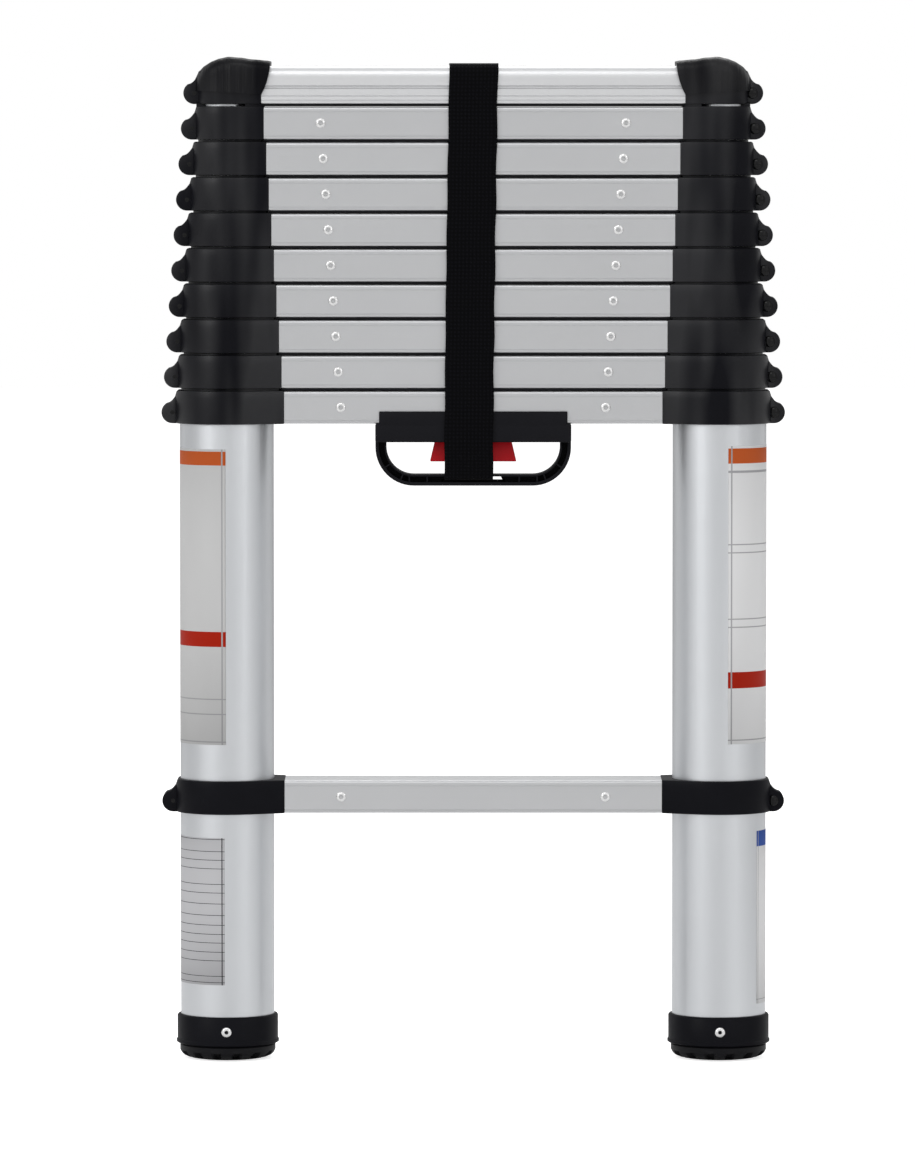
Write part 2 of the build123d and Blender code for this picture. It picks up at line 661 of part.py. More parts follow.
def carry_handle():
    """Moulded handle: a body under rung 1 with lips over its faces, and the grip loop."""
    half_depth = RUNG_DEPTH / 2 + SADDLE_LIP
    lip_half = SADDLE_WIDTH / 2
    body = bar(-HANDLE_WIDTH / 2, HANDLE_WIDTH / 2, -half_depth, half_depth, BODY_BOTTOM, HANDLE_TOP)
    body += bar(-lip_half, lip_half, -half_depth, half_depth, HANDLE_TOP, HANDLE_TOP + SADDLE_LIP_HEIGHT)
    inner = RUNG_DEPTH / 2 + SEAT_CLEARANCE
    body -= bar(-HANDLE_WIDTH, HANDLE_WIDTH, -inner, inner, HANDLE_TOP, HANDLE_TOP + 2 * SADDLE_LIP_HEIGHT)
    body += grip_loop()
    pocket_x = TRIGGER_BOTTOM_WIDTH / 2 + TRIGGER_CLEARANCE
    pocket_y = TRIGGER_DEPTH / 2 + TRIGGER_CLEARANCE
    pocket_top = BODY_BOTTOM + TRIGGER_STROKE + 2 * TRIGGER_CLEARANCE
    body -= bar(-pocket_x, pocket_x, -pocket_y, pocket_y, BODY_BOTTOM - 0.1, pocket_top)
    slot_x = PLATE_HALF_WIDTH + TRIGGER_CLEARANCE
    slot_y = PLATE_THICKNESS / 2 + TRIGGER_CLEARANCE
    body -= bar(-slot_x, slot_x, -slot_y, slot_y, BODY_BOTTOM, HANDLE_TOP + 1)
    for side in (-1, 1):
        place = Pos(side * HANDLE_SCREW_OFFSET, 0, 0)
        body -= place * disc(SCREW_RADIUS + SEAT_CLEARANCE, HANDLE_BODY_HEIGHT + 2, BODY_BOTTOM - 1)
        body -= place * disc(SCREW_RECESS_RADIUS, HANDLE_BODY_HEIGHT / 2 + 1, BODY_BOTTOM - 1)
    return body


def handle_screws():
    """Two screws up through the handle's body into rung 1's floor."""
    seat = BODY_BOTTOM + HANDLE_BODY_HEIGHT / 2
    screws = []
    for side in (-1, 1):
        shank = disc(SCREW_RADIUS, HANDLE_TOP + RUNG_WALL + 2 - seat, seat)
        head = disc(SCREW_HEAD_RADIUS, SCREW_HEAD_HEIGHT, seat - SCREW_HEAD_HEIGHT)
        screws.append(Pos(side * HANDLE_SCREW_OFFSET, 0, 0) * (shank + head))
    return screws


def release_trigger():
    """Trapezoid finger piece, and the plate above it with a slanted slot for each pull rod."""
    low = BODY_BOTTOM - TRIGGER_HEIGHT
    top = BODY_BOTTOM + TRIGGER_CLEARANCE
    profile = Polyline(
        (-TRIGGER_BOTTOM_WIDTH / 2, low),
        (TRIGGER_BOTTOM_WIDTH / 2, low),
        (TRIGGER_TOP_WIDTH / 2, top),
        (-TRIGGER_TOP_WIDTH / 2, top),
        close=True,
    )
    finger = extrude(Plane.XZ * make_face(profile), TRIGGER_DEPTH / 2, both=True)
    pin_z = rung_middle(1)
    plate_top = pin_z + CAM_PIN_RADIUS + CAM_SLOT_CLEARANCE + CAM_SLOT_MARGIN
    half = PLATE_THICKNESS / 2
    neck = TRIGGER_TOP_WIDTH / 2 - 1
    plate = bar(-neck, neck, -half, half, top - 1, BODY_BOTTOM + PLATE_NECK_HEIGHT)
    shoulder = BODY_BOTTOM + PLATE_SHOULDER_HEIGHT
    plate += bar(-PLATE_HALF_WIDTH, PLATE_HALF_WIDTH, -half, half, shoulder, plate_top)
    length = sqrt(TRIGGER_STROKE**2 + PIN_RETRACTION**2)
    width = 2 * (CAM_PIN_RADIUS + CAM_SLOT_CLEARANCE)
    lean = degrees(atan2(TRIGGER_STROKE, PIN_RETRACTION))
    body = finger + plate
    for side in (-1, 1):
        x = side * (CAM_PIN_OFFSET - PIN_RETRACTION / 2)
        slot = Pos(x, pin_z - TRIGGER_STROKE / 2) * Rot(0, 0, side * lean) * SlotCenterToCenter(length, width)
        body -= extrude(Plane.XZ * slot, PLATE_THICKNESS, both=True)
    return body


def release_pin():
    """Rung 1's left lock pin, whose rod runs to a clevis round the trigger's plate."""
    level = 1
    z = rung_middle(level)
    reach = COLUMN_X - CAM_PIN_OFFSET
    pin = lock_pin(level)
    inner = PLATE_THICKNESS / 2 + TRIGGER_CLEARANCE
    outer = inner + CLEVIS_CHEEK
    bridge_end = COLUMN_X - PLATE_HALF_WIDTH - PIN_RETRACTION - TRIGGER_CLEARANCE
    bridge_start = bridge_end - CLEVIS_CHEEK * 2
    tip = reach + CLEVIS_HALF_HEIGHT
    low = z - CLEVIS_HALF_HEIGHT
    high = z + CLEVIS_HALF_HEIGHT
    fork = bar(bridge_start, tip, -outer, outer, low, high)
    fork -= bar(bridge_end, tip, -inner, inner, low, high)
    cross = rod_y(CAM_PIN_RADIUS, reach, -outer, outer, z)
    rod = rod_x(ROD_RADIUS, collar_face(level) + TENON_LENGTH, bridge_start, z)
    return pin + rod + fork + cross


# Strap

def strap():
    """Closed webbing loop: up the front from the grip's slot, over the top rung and down the back."""
    half = STRAP_THICKNESS / 2
    slot_z = (SLOT_LOW + SLOT_HIGH) / 2
    lip_y = RUNG_DEPTH / 2 + SADDLE_LIP + STRAP_CLEARANCE + half
    top_y = RUNG_DEPTH / 2 + STRAP_CLEARANCE + half
    top_z = rung_bottom(SECTIONS) + TOP_RUNG_HEIGHT + STRAP_CLEARANCE + half
    grip_y = GRIP_DEPTH / 2 + STRAP_GRIP_REACH
    front = [
        (-grip_y, slot_z),
        (-lip_y, BODY_BOTTOM - STRAP_LIP_START),
        (-lip_y, HANDLE_TOP + SADDLE_LIP_HEIGHT),
        (-top_y, top_z),
    ]
    back = [(-y, z) for y, z in reversed(front)]
    corner = TOP_RUNG_ROUND + STRAP_CLEARANCE + half
    radii = STRAP_BENDS + [corner]
    centre_line = FilletPolyline(*front, *back, radius=radii + radii[::-1], close=True)
    face = make_face(centre_line)
    loop = offset(face, half) - offset(face, -half)
    return Pos(STRAP_CENTRE, 0, 0) * extrude(Plane.YZ * loop, STRAP_WIDTH / 2, both=True)


# The assembly

def base_section():
    write("base_tubes", both_columns(tube(1)))
    write("foot_sockets", both_columns(foot_socket()))
    write("foot_pads", both_columns(foot_pad()))
    write("bottom_rung", [plain_rung(0)])
    write("bottom_rung_collars", both_columns(collar(0)))
    write("rung_1", [release_rung()])
    write("rung_1_collars", both_columns(collar(1)))
    write("carry_handle", [carry_handle()])
    write("release_trigger", [release_trigger()])
    left, right = both_columns(release_pin())
    write("left_lock_pin", [left])
    write("right_lock_pin", [right])
    write("release_springs", both_columns(lock_spring(1)))
    write("strap", [strap()])
    fasteners = column_fasteners(0) + column_fasteners(1) + handle_screws()
    for shape in foot_rivets():
        fasteners.extend(both_columns(shape))
    write("base_fasteners", fasteners)


def sliding_section(level):
    write(f"section_{level}_tubes", both_columns(tube(level)))
    write(f"section_{level}_guides", both_columns(guide_bush(level)))
    write(f"rung_{level}_collars", both_columns(collar(level)))
    if level == SECTIONS:
        write("top_rung", [top_rung()])
        write("end_caps", both_columns(end_cap()))
        write("top_rung_fasteners", column_fasteners(level))
        return
    write(f"rung_{level}", [plain_rung(level)])
    hardware = both_columns(lock_pin(level)) + both_columns(lock_spring(level))
    write(f"rung_{level}_locks", hardware + column_fasteners(level))


os.makedirs("parts", exist_ok=True)
base_section()
for level in range(2, SECTIONS + 1):
    sliding_section(level)
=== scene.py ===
import json
from math import acos, atan2, cos, pi, radians, sin, sqrt
import bmesh
import bpy
from mathutils import Matrix, Vector

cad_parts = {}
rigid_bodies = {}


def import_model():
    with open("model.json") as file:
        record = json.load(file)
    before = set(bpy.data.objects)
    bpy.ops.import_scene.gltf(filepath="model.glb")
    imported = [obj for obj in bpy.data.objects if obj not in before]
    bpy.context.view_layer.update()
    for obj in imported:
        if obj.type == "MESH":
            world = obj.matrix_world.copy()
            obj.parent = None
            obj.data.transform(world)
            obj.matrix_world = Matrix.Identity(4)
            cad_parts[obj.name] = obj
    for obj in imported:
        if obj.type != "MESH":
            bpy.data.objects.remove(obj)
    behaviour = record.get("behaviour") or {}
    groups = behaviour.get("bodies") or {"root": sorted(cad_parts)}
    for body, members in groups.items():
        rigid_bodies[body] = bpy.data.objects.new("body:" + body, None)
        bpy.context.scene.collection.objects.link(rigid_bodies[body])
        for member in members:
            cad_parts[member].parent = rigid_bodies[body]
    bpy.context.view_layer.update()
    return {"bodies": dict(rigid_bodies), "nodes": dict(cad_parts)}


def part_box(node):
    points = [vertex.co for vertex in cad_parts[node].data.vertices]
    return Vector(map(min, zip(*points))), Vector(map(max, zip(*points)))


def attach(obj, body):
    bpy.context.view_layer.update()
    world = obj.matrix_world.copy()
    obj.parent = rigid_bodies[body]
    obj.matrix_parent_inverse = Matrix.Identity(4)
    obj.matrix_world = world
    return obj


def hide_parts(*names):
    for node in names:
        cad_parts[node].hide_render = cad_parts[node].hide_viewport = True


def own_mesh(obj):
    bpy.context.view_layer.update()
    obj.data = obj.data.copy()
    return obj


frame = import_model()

# ------------------------------------------------------------
# Studio: a white room and a pale floor, soft lamps at both sides, above and behind, and grey cards
# that only reflections see, which darken the metal and the black mouldings. The camera stands six
# metres off with a long lens, a little above the top rungs, and looks slightly down.

FLOOR_COLOUR = (0.90, 0.90, 0.90)
FLOOR_GLOW = 0.70
ROOM_LIGHT = 0.55
SIDE_CARD = 0.62
BACK_CARD = 0.45
FRONT_CARD = 0.78
TOP_CARD = 0.74
CAMERA_TARGET = Vector((-0.0123, 0.0, 0.3774))
CAMERA_DISTANCE = 6.276
CAMERA_PITCH = radians(3.36)
CAMERA_LENS = 249.4


def new_finish(name, colour, roughness, metallic=0.0, specular=0.5):
    """A material with one principled shader and its node tree."""
    finish = bpy.data.materials.new(name)
    finish.use_nodes = True
    shader = finish.node_tree.nodes["Principled BSDF"]
    shader.inputs["Base Color"].default_value = (*colour, 1.0)
    shader.inputs["Roughness"].default_value = roughness
    shader.inputs["Metallic"].default_value = metallic
    shader.inputs["Specular IOR Level"].default_value = specular
    return finish, shader, finish.node_tree


def added(tree, kind, **settings):
    """A shader node, its properties and then its sockets set; _ stands for a space in a socket's name."""
    node = tree.nodes.new("ShaderNode" + kind)
    for name, value in settings.items():
        if name in node.bl_rna.properties:
            setattr(node, name, value)
        else:
            node.inputs[name.replace("_", " ")].default_value = value
    return node


def wire(source, output, target, socket):
    source.id_data.links.new(source.outputs[output], target.inputs[socket])


def aim(thing, target):
    thing.rotation_euler = (Vector(target) - thing.location).to_track_quat("-Z", "Y").to_euler()


def soft_lamp(name, place, target, size, power):
    lamp = bpy.data.lights.new(name, "AREA")
    lamp.shape = "RECTANGLE"
    lamp.size, lamp.size_y = size
    lamp.energy = power
    holder = bpy.data.objects.new(name, lamp)
    holder.location = place
    aim(holder, target)
    bpy.context.scene.collection.objects.link(holder)


def white_room():
    """A world that is white to the camera and in reflections, and a soft grey as light."""
    world = bpy.data.worlds.new("studio")
    bpy.context.scene.world = world
    world.use_nodes = True
    tree = world.node_tree
    tree.nodes.clear()
    path = added(tree, "LightPath")
    seen = added(tree, "Math", operation="MAXIMUM")
    either = added(tree, "Math", operation="MAXIMUM")
    wire(path, "Is Camera Ray", seen, 0)
    wire(path, "Is Glossy Ray", seen, 1)
    wire(seen, 0, either, 0)
    wire(path, "Is Transmission Ray", either, 1)
    mix = added(tree, "MixShader")
    out = added(tree, "OutputWorld")
    wire(either, 0, mix, 0)
    for socket, strength in ((1, ROOM_LIGHT), (2, 1.0)):
        wire(added(tree, "Background", Strength=strength, Color=(1, 1, 1, 1)), 0, mix, socket)
    wire(mix, 0, out, "Surface")


def studio_floor():
    """A big plate that shows white to the camera apart from the object's soft shadow."""
    finish, shader, tree = new_finish("floor_paper", FLOOR_COLOUR, 0.9, specular=0.0)
    shader.inputs["Emission Color"].default_value = (1, 1, 1, 1)
    path = added(tree, "LightPath")
    scale = added(tree, "Math", operation="MULTIPLY")
    scale.inputs[1].default_value = FLOOR_GLOW
    wire(path, "Is Camera Ray", scale, 0)
    wire(scale, 0, shader, "Emission Strength")
    bpy.ops.mesh.primitive_plane_add(size=30, location=(0, 0, -0.0005))
    plate = bpy.context.object
    plate.name = "floor"
    plate.data.materials.append(finish)


def reflected_card(name, place, size, turn, strength):
    """A grey card that only reflections see, never the camera."""
    finish = bpy.data.materials.new(name + "_grey")
    finish.use_nodes = True
    tree = finish.node_tree
    tree.nodes.clear()
    glow = added(tree, "Emission", Strength=strength)
    out = added(tree, "OutputMaterial")
    wire(glow, 0, out, "Surface")
    bpy.ops.mesh.primitive_plane_add(size=1, location=place)
    card = bpy.context.object
    card.name = name
    card.scale = (*size, 1)
    card.rotation_euler = turn
    card.data.materials.append(finish)
    card.visible_camera = card.visible_diffuse = card.visible_shadow = False


bpy.context.scene.view_settings.view_transform = "Standard"
white_room()
studio_floor()
reflected_card("card_left", (-1.7, -0.4, 0.7), (2.6, 2.4), (0, radians(90), 0), SIDE_CARD)
reflected_card("card_right", (1.7, -0.4, 0.7), (2.6, 2.4), (0, radians(90), 0), SIDE_CARD)
reflected_card("card_back", (0, 2.2, 1.4), (3.4, 2.8), (radians(90), 0, 0), BACK_CARD)
reflected_card("card_front", (0, -4.2, 0.9), (2.6, 3.6), (radians(-90), 0, 0), FRONT_CARD)
reflected_card("card_top", (0, -1.6, 3.9), (3.6, 3.4), (0, 0, 0), TOP_CARD)
soft_lamp("key_lamp", (-2.7, -2.1, 1.9), (0, 0, 0.4), (1.0, 1.9), 45)
soft_lamp("fill_lamp", (2.7, -2.1, 1.5), (0, 0, 0.4), (1.0, 1.9), 25)
soft_lamp("top_lamp", (-0.3, -1.8, 3.0), (0, 0, 0.4), (1.6, 0.8), 9)
soft_lamp("back_lamp", (0.0, 2.0, 2.6), (0, 0, 0.4), (2.6, 1.2), 30)

camera_data = bpy.data.cameras.new("camera")
camera_data.lens = CAMERA_LENS
camera_data.clip_end = 60
camera = bpy.data.objects.new("camera", camera_data)
back_off = Vector((0, -cos(CAMERA_PITCH), sin(CAMERA_PITCH))) * CAMERA_DISTANCE
camera.location = CAMERA_TARGET + back_off
aim(camera, CAMERA_TARGET)
bpy.context.scene.collection.objects.link(camera)
bpy.context.scene.camera = camera

# ------------------------------------------------------------
# Tubes: drawn aluminium, satin anodised, one pair inside the next. The outermost pair stands in
# the feet. Each is turned here as a wall with rounded rims; a faint draw mark runs along it.

MM = 0.001
TUBE_WALL = 1.5 * MM
RIM_ROUND = 0.3 * MM
TUBE_STEPS = 96
ALUMINIUM_COLOUR = (0.62, 0.635, 0.655)
SECTIONS = sorted(int(name.split("_")[1]) for name in frame["bodies"] if name.startswith("section_"))
TOP = SECTIONS[-1]


def body_of_level(level):
    return f"section_{level}" if level > 1 else "base_section"


def noise_on(tree, scale, detail=2.0, stretch=None):
    """A noise texture on Object coordinates, stretched by three factors where they are given."""
    source, output = added(tree, "TexCoord"), "Object"
    if stretch:
        along = added(tree, "Mapping", Scale=stretch)
        wire(source, output, along, "Vector")
        source, output = along, "Vector"
    noise = added(tree, "TexNoise", Scale=scale, Detail=detail)
    wire(source, output, noise, "Vector")
    return noise


def spread(tree, noise, low, high, shader, socket, span=(0.0, 1.0)):
    """Leads noise within span to a shader's socket, as a value between low and high."""
    scale = added(tree, "MapRange", From_Min=span[0], From_Max=span[1], To_Min=low, To_Max=high)
    wire(noise, "Fac", scale, "Value")
    wire(scale, "Result", shader, socket)


def tinted(tree, source, output, colour, dark, light, shader):
    """Mixes a darker and a lighter share of the colour by the source."""
    ends = {end: (*[min(1, c * share) for c in colour], 1) for end, share in (("A", dark), ("B", light))}
    tint = added(tree, "Mix", data_type="RGBA", **ends)
    wire(source, output, tint, "Factor")
    wire(tint, "Result", shader, "Base Color")


def bumped(tree, source, output, strength, distance, shader):
    bump = added(tree, "Bump", Strength=strength, Distance=distance)
    wire(source, output, bump, "Height")
    wire(bump, "Normal", shader, "Normal")


def satin_aluminium(name, stretch, colour=ALUMINIUM_COLOUR, roughness=0.36):
    """Anodised extrusion: fine lines along one axis in the gloss and the surface."""
    finish, shader, tree = new_finish(name, colour, roughness, metallic=1.0)
    lines = noise_on(tree, 1.0, 4.0, stretch)
    spread(tree, lines, roughness - 0.05, roughness + 0.07, shader, "Roughness")
    tinted(tree, noise_on(tree, 14.0, 3.0), "Fac", colour, 0.965, 1.03, shader)
    bumped(tree, lines, "Fac", 0.06, 0.0004, shader)
    return finish


def piece_from(mesh_maker, name, finishes, body, slot, *nodes, sharp=35):
    """Runs the maker on an empty bmesh, writes the mesh, and fixes it to its body."""
    shape = bmesh.new()
    mesh_maker(shape)
    bmesh.ops.remove_doubles(shape, verts=shape.verts, dist=0.002 * MM)
    bmesh.ops.recalc_face_normals(shape, faces=shape.faces)
    mesh = bpy.data.meshes.new(name)
    shape.to_mesh(mesh)
    shape.free()
    for finish in finishes:
        mesh.materials.append(finish)
    mesh.shade_smooth()
    mesh.set_sharp_from_angle(angle=radians(sharp))
    piece = bpy.data.objects.new(name, mesh)
    bpy.context.scene.collection.objects.link(piece)
    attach(piece, body)
    if nodes:
        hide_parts(*nodes)
    return piece


def ring_of(shape, points):
    """A closed loop through the points, as its vertices and its edges."""
    verts = [shape.verts.new(point) for point in points]
    return verts, [shape.edges.new((verts[i - 1], verts[i])) for i in range(len(verts))]


def skin(shape, loops, closed=False):
    """Bridges each loop of points to the next, fills the two ends or joins them, returns the vertices."""
    rings = [ring_of(shape, loop) for loop in loops]
    for (_, first), (_, second) in zip(rings, rings[1:]):
        bmesh.ops.bridge_loops(shape, edges=first + second)
    if closed:
        bmesh.ops.bridge_loops(shape, edges=rings[-1][1] + rings[0][1])
    else:
        bmesh.ops.contextual_create(shape, geom=rings[0][1])
        bmesh.ops.contextual_create(shape, geom=rings[-1][1])
    return [vert for verts, _ in rings for vert in verts]


def circle(radius, z, steps, centre=(0.0, 0.0)):
    turn = 2 * pi / steps
    return [(centre[0] + radius * cos(i * turn), centre[1] + radius * sin(i * turn), z) for i in range(steps)]


def turned(shape, profile, steps, closed=False):
    """A lathe shape about Z from (radius, height) points."""
    return skin(shape, [circle(radius, height, steps) for radius, height in profile], closed)


def moved(shape, verts, matrix):
    bmesh.ops.transform(shape, matrix=matrix, verts=verts)


def tube_size(node):
    """(distance of the axis from the middle, outer radius, lower end, upper end) of a tube pair."""
    low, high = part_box(node)
    return high.x - high.y, high.y, low.z, high.z


def tube_wall(radius, bottom, top):
    inner = radius - TUBE_WALL
    edge = RIM_ROUND
    return [
        (radius - edge, bottom), (radius, bottom + edge), (radius, top - edge), (radius - edge, top),
        (inner + edge, top), (inner, top - edge), (inner, bottom + edge), (inner + edge, bottom),
    ]


def tube_pair(level):
    node = "base_tubes" if level == 1 else f"section_{level}_tubes"
    column_x, radius, bottom, top = tube_size(node)

    def make(shape):
        for side in (-1, 1):
            wall = turned(shape, tube_wall(radius, bottom, top), TUBE_STEPS, closed=True)
            moved(shape, wall, Matrix.Translation((side * column_x, 0, 0)))

    piece_from(make, node + "_drawn", [tube_finish], body_of_level(level), "tube_aluminium", node)


tube_finish = satin_aluminium("tube_anodised", (700, 700, 3))
COLUMN_X = tube_size("base_tubes")[0]
BASE_RADIUS = tube_size("base_tubes")[1]
for level in [1] + SECTIONS:
    tube_pair(level)

# ------------------------------------------------------------
# Feet: a moulded black cup is riveted over each base tube's end, and a notched rubber tread sits
# in it. The cup has a rounded rim and a thin bead at its foot.

SOCKET_BEAD = 0.7 * MM
PAD_NOTCHES = 14
NOTCH_SHARE = 0.19
NOTCH_START = 28 * MM
NOTCH_TOP = 5 * MM
NOTCH_DEPTH = 3.2 * MM
NOTCH_LIFT = 1.6 * MM
FOOT_STEPS = 112
NYLON_COLOUR = (0.0048, 0.0049, 0.0066)
RUBBER_COLOUR = (0.0050, 0.0050, 0.0062)
SHEEN_BANDS = (52, 20, 7)


def moulded_black(name, colour, roughness, grain, depth, specular, sheen=None, ribs=None):
    """Moulded plastic or rubber: a fine grain or upright ribs, and dull patches where hands and dust
    have been. Two levels of sheen vary its gloss in soft upright bands, as uneven flanks do."""
    finish, shader, tree = new_finish(name, colour, roughness, specular=specular)
    height = noise_on(tree, 1.0, 2.0, ribs) if ribs else noise_on(tree, grain, 3.0)
    bumped(tree, height, "Fac", 0.5 if ribs else 0.25, depth, shader)
    patches = noise_on(tree, 22.0, 5.0)
    spread(tree, patches, roughness - 0.08, roughness + 0.10, shader, "Roughness")
    tinted(tree, patches, "Fac", colour, 0.75, 1.5, shader)
    if sheen:
        bands = noise_on(tree, 1.0, 1.0, SHEEN_BANDS)
        spread(tree, bands, *sheen, shader, "Specular IOR Level", (0.35, 0.65))
    return finish


def both_columns(shape):
    """Copies a left-hand moulding to the other column, turned half round, and places both."""
    first = shape.verts[:]
    copied = bmesh.ops.duplicate(shape, geom=first + shape.edges[:] + shape.faces[:])
    others = [item for item in copied["geom"] if isinstance(item, bmesh.types.BMVert)]
    bmesh.ops.rotate(shape, verts=others, cent=(0, 0, 0), matrix=Matrix.Rotation(pi, 3, "Z"))
    bmesh.ops.translate(shape, verts=first, vec=(-COLUMN_X, 0, 0))
    bmesh.ops.translate(shape, verts=others, vec=(COLUMN_X, 0, 0))


def pair_from(maker):
    """Wraps a maker of one left-hand moulding so that it makes both."""
    def make(shape):
        maker(shape)
        both_columns(shape)
    return make


def foot_socket(shape):
    low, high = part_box("foot_sockets")
    radius = high.y
    bottom, top = low.z, high.z
    bore = BASE_RADIUS + 0.1 * MM
    turned(shape, [
        (bore - 5 * MM, bottom + 4 * MM), (bore - 5 * MM, bottom), (radius - 1.2 * MM, bottom),
        (radius, bottom + 0.8 * MM), (radius, bottom + 2.6 * MM), (radius - SOCKET_BEAD, bottom + 3.4 * MM),
        (radius - SOCKET_BEAD, top - 1.4 * MM), (radius - 1.4 * MM, top - 0.4 * MM), (radius - 2.2 * MM, top),
        (bore, top), (bore, bottom + 4 * MM),
    ], FOOT_STEPS, closed=True)


def foot_pad(shape):
    """The tread's rim is pulled in at each notch, deepest where it meets the ground."""
    radius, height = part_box("foot_pads")[1].y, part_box("foot_sockets")[0].z
    profile = [(27.0 * MM, 0.0), (31.0 * MM, 0.7 * MM), (34.6 * MM, 2.2 * MM), (36.4 * MM, 4.0 * MM),
               (radius, 6.2 * MM), (radius, height - 1.6 * MM), (radius - 1.2 * MM, height - 0.2 * MM),
               (20.0 * MM, height)]
    loops = []
    for rim, level in profile:
        loop = []
        for x, y, z in circle(rim, level, FOOT_STEPS):
            turn = atan2(y, x) / (2 * pi) * PAD_NOTCHES
            notched = abs(turn - round(turn)) < NOTCH_SHARE and rim > NOTCH_START and level < NOTCH_TOP
            cut, lift = (NOTCH_DEPTH, NOTCH_LIFT) if notched else (0.0, 0.0)
            loop.append((x * (rim - cut) / rim, y * (rim - cut) / rim, z + lift))
        loops.append(loop)
    skin(shape, loops)


nylon = moulded_black("black_nylon", NYLON_COLOUR, 0.36, 1600.0, 0.00012, 0.16, sheen=(0.05, 0.34))
nylon_low = moulded_black("black_nylon_low", NYLON_COLOUR, 0.40, 1600.0, 0.00012, 0.05)
rubber = moulded_black("black_rubber", RUBBER_COLOUR, 0.44, 900.0, 0.0002, 0.13)
piece_from(pair_from(foot_socket), "foot_sockets_moulded", [nylon_low], "base_section", "nylon", "foot_sockets")
piece_from(pair_from(foot_pad), "foot_treads", [rubber], "base_section", "rubber", "foot_pads")

# ------------------------------------------------------------
# Rungs: rectangular aluminium extrusions with rounded corners, a fine line near each edge of
# their faces and grooves along the tread. Their ends run into the collars. Black beads under the
# rungs are painted shade: dark parts that fill the gaps between the stacked rungs so they read dark.

TREAD_GROOVES = 7
RUNG_MIDDLE = 12.7 * MM
LINE_DEPTH = 0.35 * MM
BEAD_HEIGHT = 2.1 * MM
BEAD_INSET = 2.2 * MM
BEAD_WIDTH = 3.0 * MM
BEAD_PAST = 0.4 * MM


def groove(centre, width, depth):
    """Three outline steps down into a groove and out again, as (along, into the metal)."""
    half = width / 2
    lip = min(half * 0.35, depth * 0.6)
    return [(centre - half, 0.0), (centre - half + lip, depth), (centre + half - lip, depth), (centre + half, 0.0)]


def rounded_side(corner, radius, start, steps):
    """Points round a corner's centre, a quarter turn from the start angle."""
    quarter = pi / 2
    points = []
    for i in range(steps + 1):
        turn = start + quarter * i / steps
        points.append((corner[0] + radius * cos(turn), corner[1] + radius * sin(turn)))
    return points


def rung_outline(depth, height, top_round, side_grooves, tread_grooves):
    """Outline in (y, z) from the middle of the underside round the back, the tread and the front."""
    half = depth / 2
    low = 1.2 * MM
    points = [(0.0, 0.0)]
    points += rounded_side((half - low, low), low, -pi / 2, 4)
    for centre, width, cut in sorted(side_grooves):
        points += [(half - into, z) for z, into in groove(centre, width, cut)]
    points += rounded_side((half - top_round, height - top_round), top_round, 0.0, 10)
    across = []
    for centre, width, cut in sorted(tread_grooves):
        across += [(y, height - into) for y, into in groove(centre, width, cut)]
    points += across[::-1]
    points += rounded_side((top_round - half, height - top_round), top_round, pi / 2, 10)
    for centre, width, cut in sorted(side_grooves)[::-1]:
        points += [(into - half, z) for z, into in groove(centre, width, cut)[::-1]]
    points += rounded_side((low - half, low), low, pi, 4)
    return points


def rung_piece(level, node):
    low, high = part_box(node)
    depth, height = high.y - low.y, high.z - low.z
    if node == "top_rung":
        sides = [(12.8 * MM, 2.6 * MM, 3.0 * MM), (5.9 * MM, 1.0 * MM, 0.9 * MM), (2.5 * MM, 1.0 * MM, 0.8 * MM)]
        outline = rung_outline(depth, height, 9 * MM, sides, [])
    else:
        sides = [(2.3 * MM, 0.8 * MM, LINE_DEPTH), (21.2 * MM, 0.6 * MM, LINE_DEPTH * 0.6)]
        pitch = depth / (TREAD_GROOVES + 1)
        tread = [((i - (TREAD_GROOVES - 1) / 2) * pitch, 1.6 * MM, 0.6 * MM) for i in range(TREAD_GROOVES)]
        outline = rung_outline(depth, height, 2.4 * MM, sides, tread)

    def make(shape):
        ends = [low.x, high.x]
        skin(shape, [[(x, y, low.z + z) for y, z in outline] for x in ends])

    finish = top_rung_lit_finish if level == TOP else rung_finish
    piece_from(make, node + "_extruded", [finish], body_of_level(level), "tube_aluminium", node, sharp=32)


rung_finish = satin_aluminium("rung_anodised", (4, 900, 900), (0.55, 0.555, 0.565), 0.40)
# Painted light: the top rung's finish is a lighter copy of the rungs' aluminium, standing in for light on its upper
# face.
top_rung_lit_finish = satin_aluminium("top_rung_lit_anodised", (4, 900, 900), (0.68, 0.685, 0.695), 0.40)
rung_piece(0, "bottom_rung")
rung_piece(1, "rung_1")
for level in SECTIONS[:-1]:
    rung_piece(level, f"rung_{level}")
rung_piece(TOP, "top_rung")


def gap_shade_bead(level):
    """Two black beads along a rung's underside, behind its faces, that fill the gap below it as painted shade."""
    low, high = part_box(rung_node(level))
    bottom, near, far = low.z - BEAD_HEIGHT, high.y - BEAD_INSET - BEAD_WIDTH, high.y - BEAD_INSET

    def make(shape):
        profile = [(near, low.z), (near, bottom + 0.6 * MM), (near + 0.6 * MM, bottom),
                   (far - 0.6 * MM, bottom), (far, bottom + 0.6 * MM), (far, low.z)]
        for side in (-1, 1):
            skin(shape, [[(x, side * y, z) for y, z in profile] for x in (low.x - BEAD_PAST, high.x + BEAD_PAST)])

    piece_from(make, f"rung_{level}_gap_shade_bead", [rubber], body_of_level(level), "rubber")


def rung_node(level):
    return {0: "bottom_rung", TOP: "top_rung"}.get(level, f"rung_{level}")


# Painted shade: black beads under each rung from 2 up darken the gap below it.
for level in SECTIONS:
    gap_shade_bead(level)

# ------------------------------------------------------------
# Collars: black nylon mouldings that grip each tube's top and plug into the rung's end. Straight
# flanks run from the ring to the flat face at the rung, a lip on top guides the next tube, and a
# split lug with a rounded ear sticks out on the outside for the clamp screw.

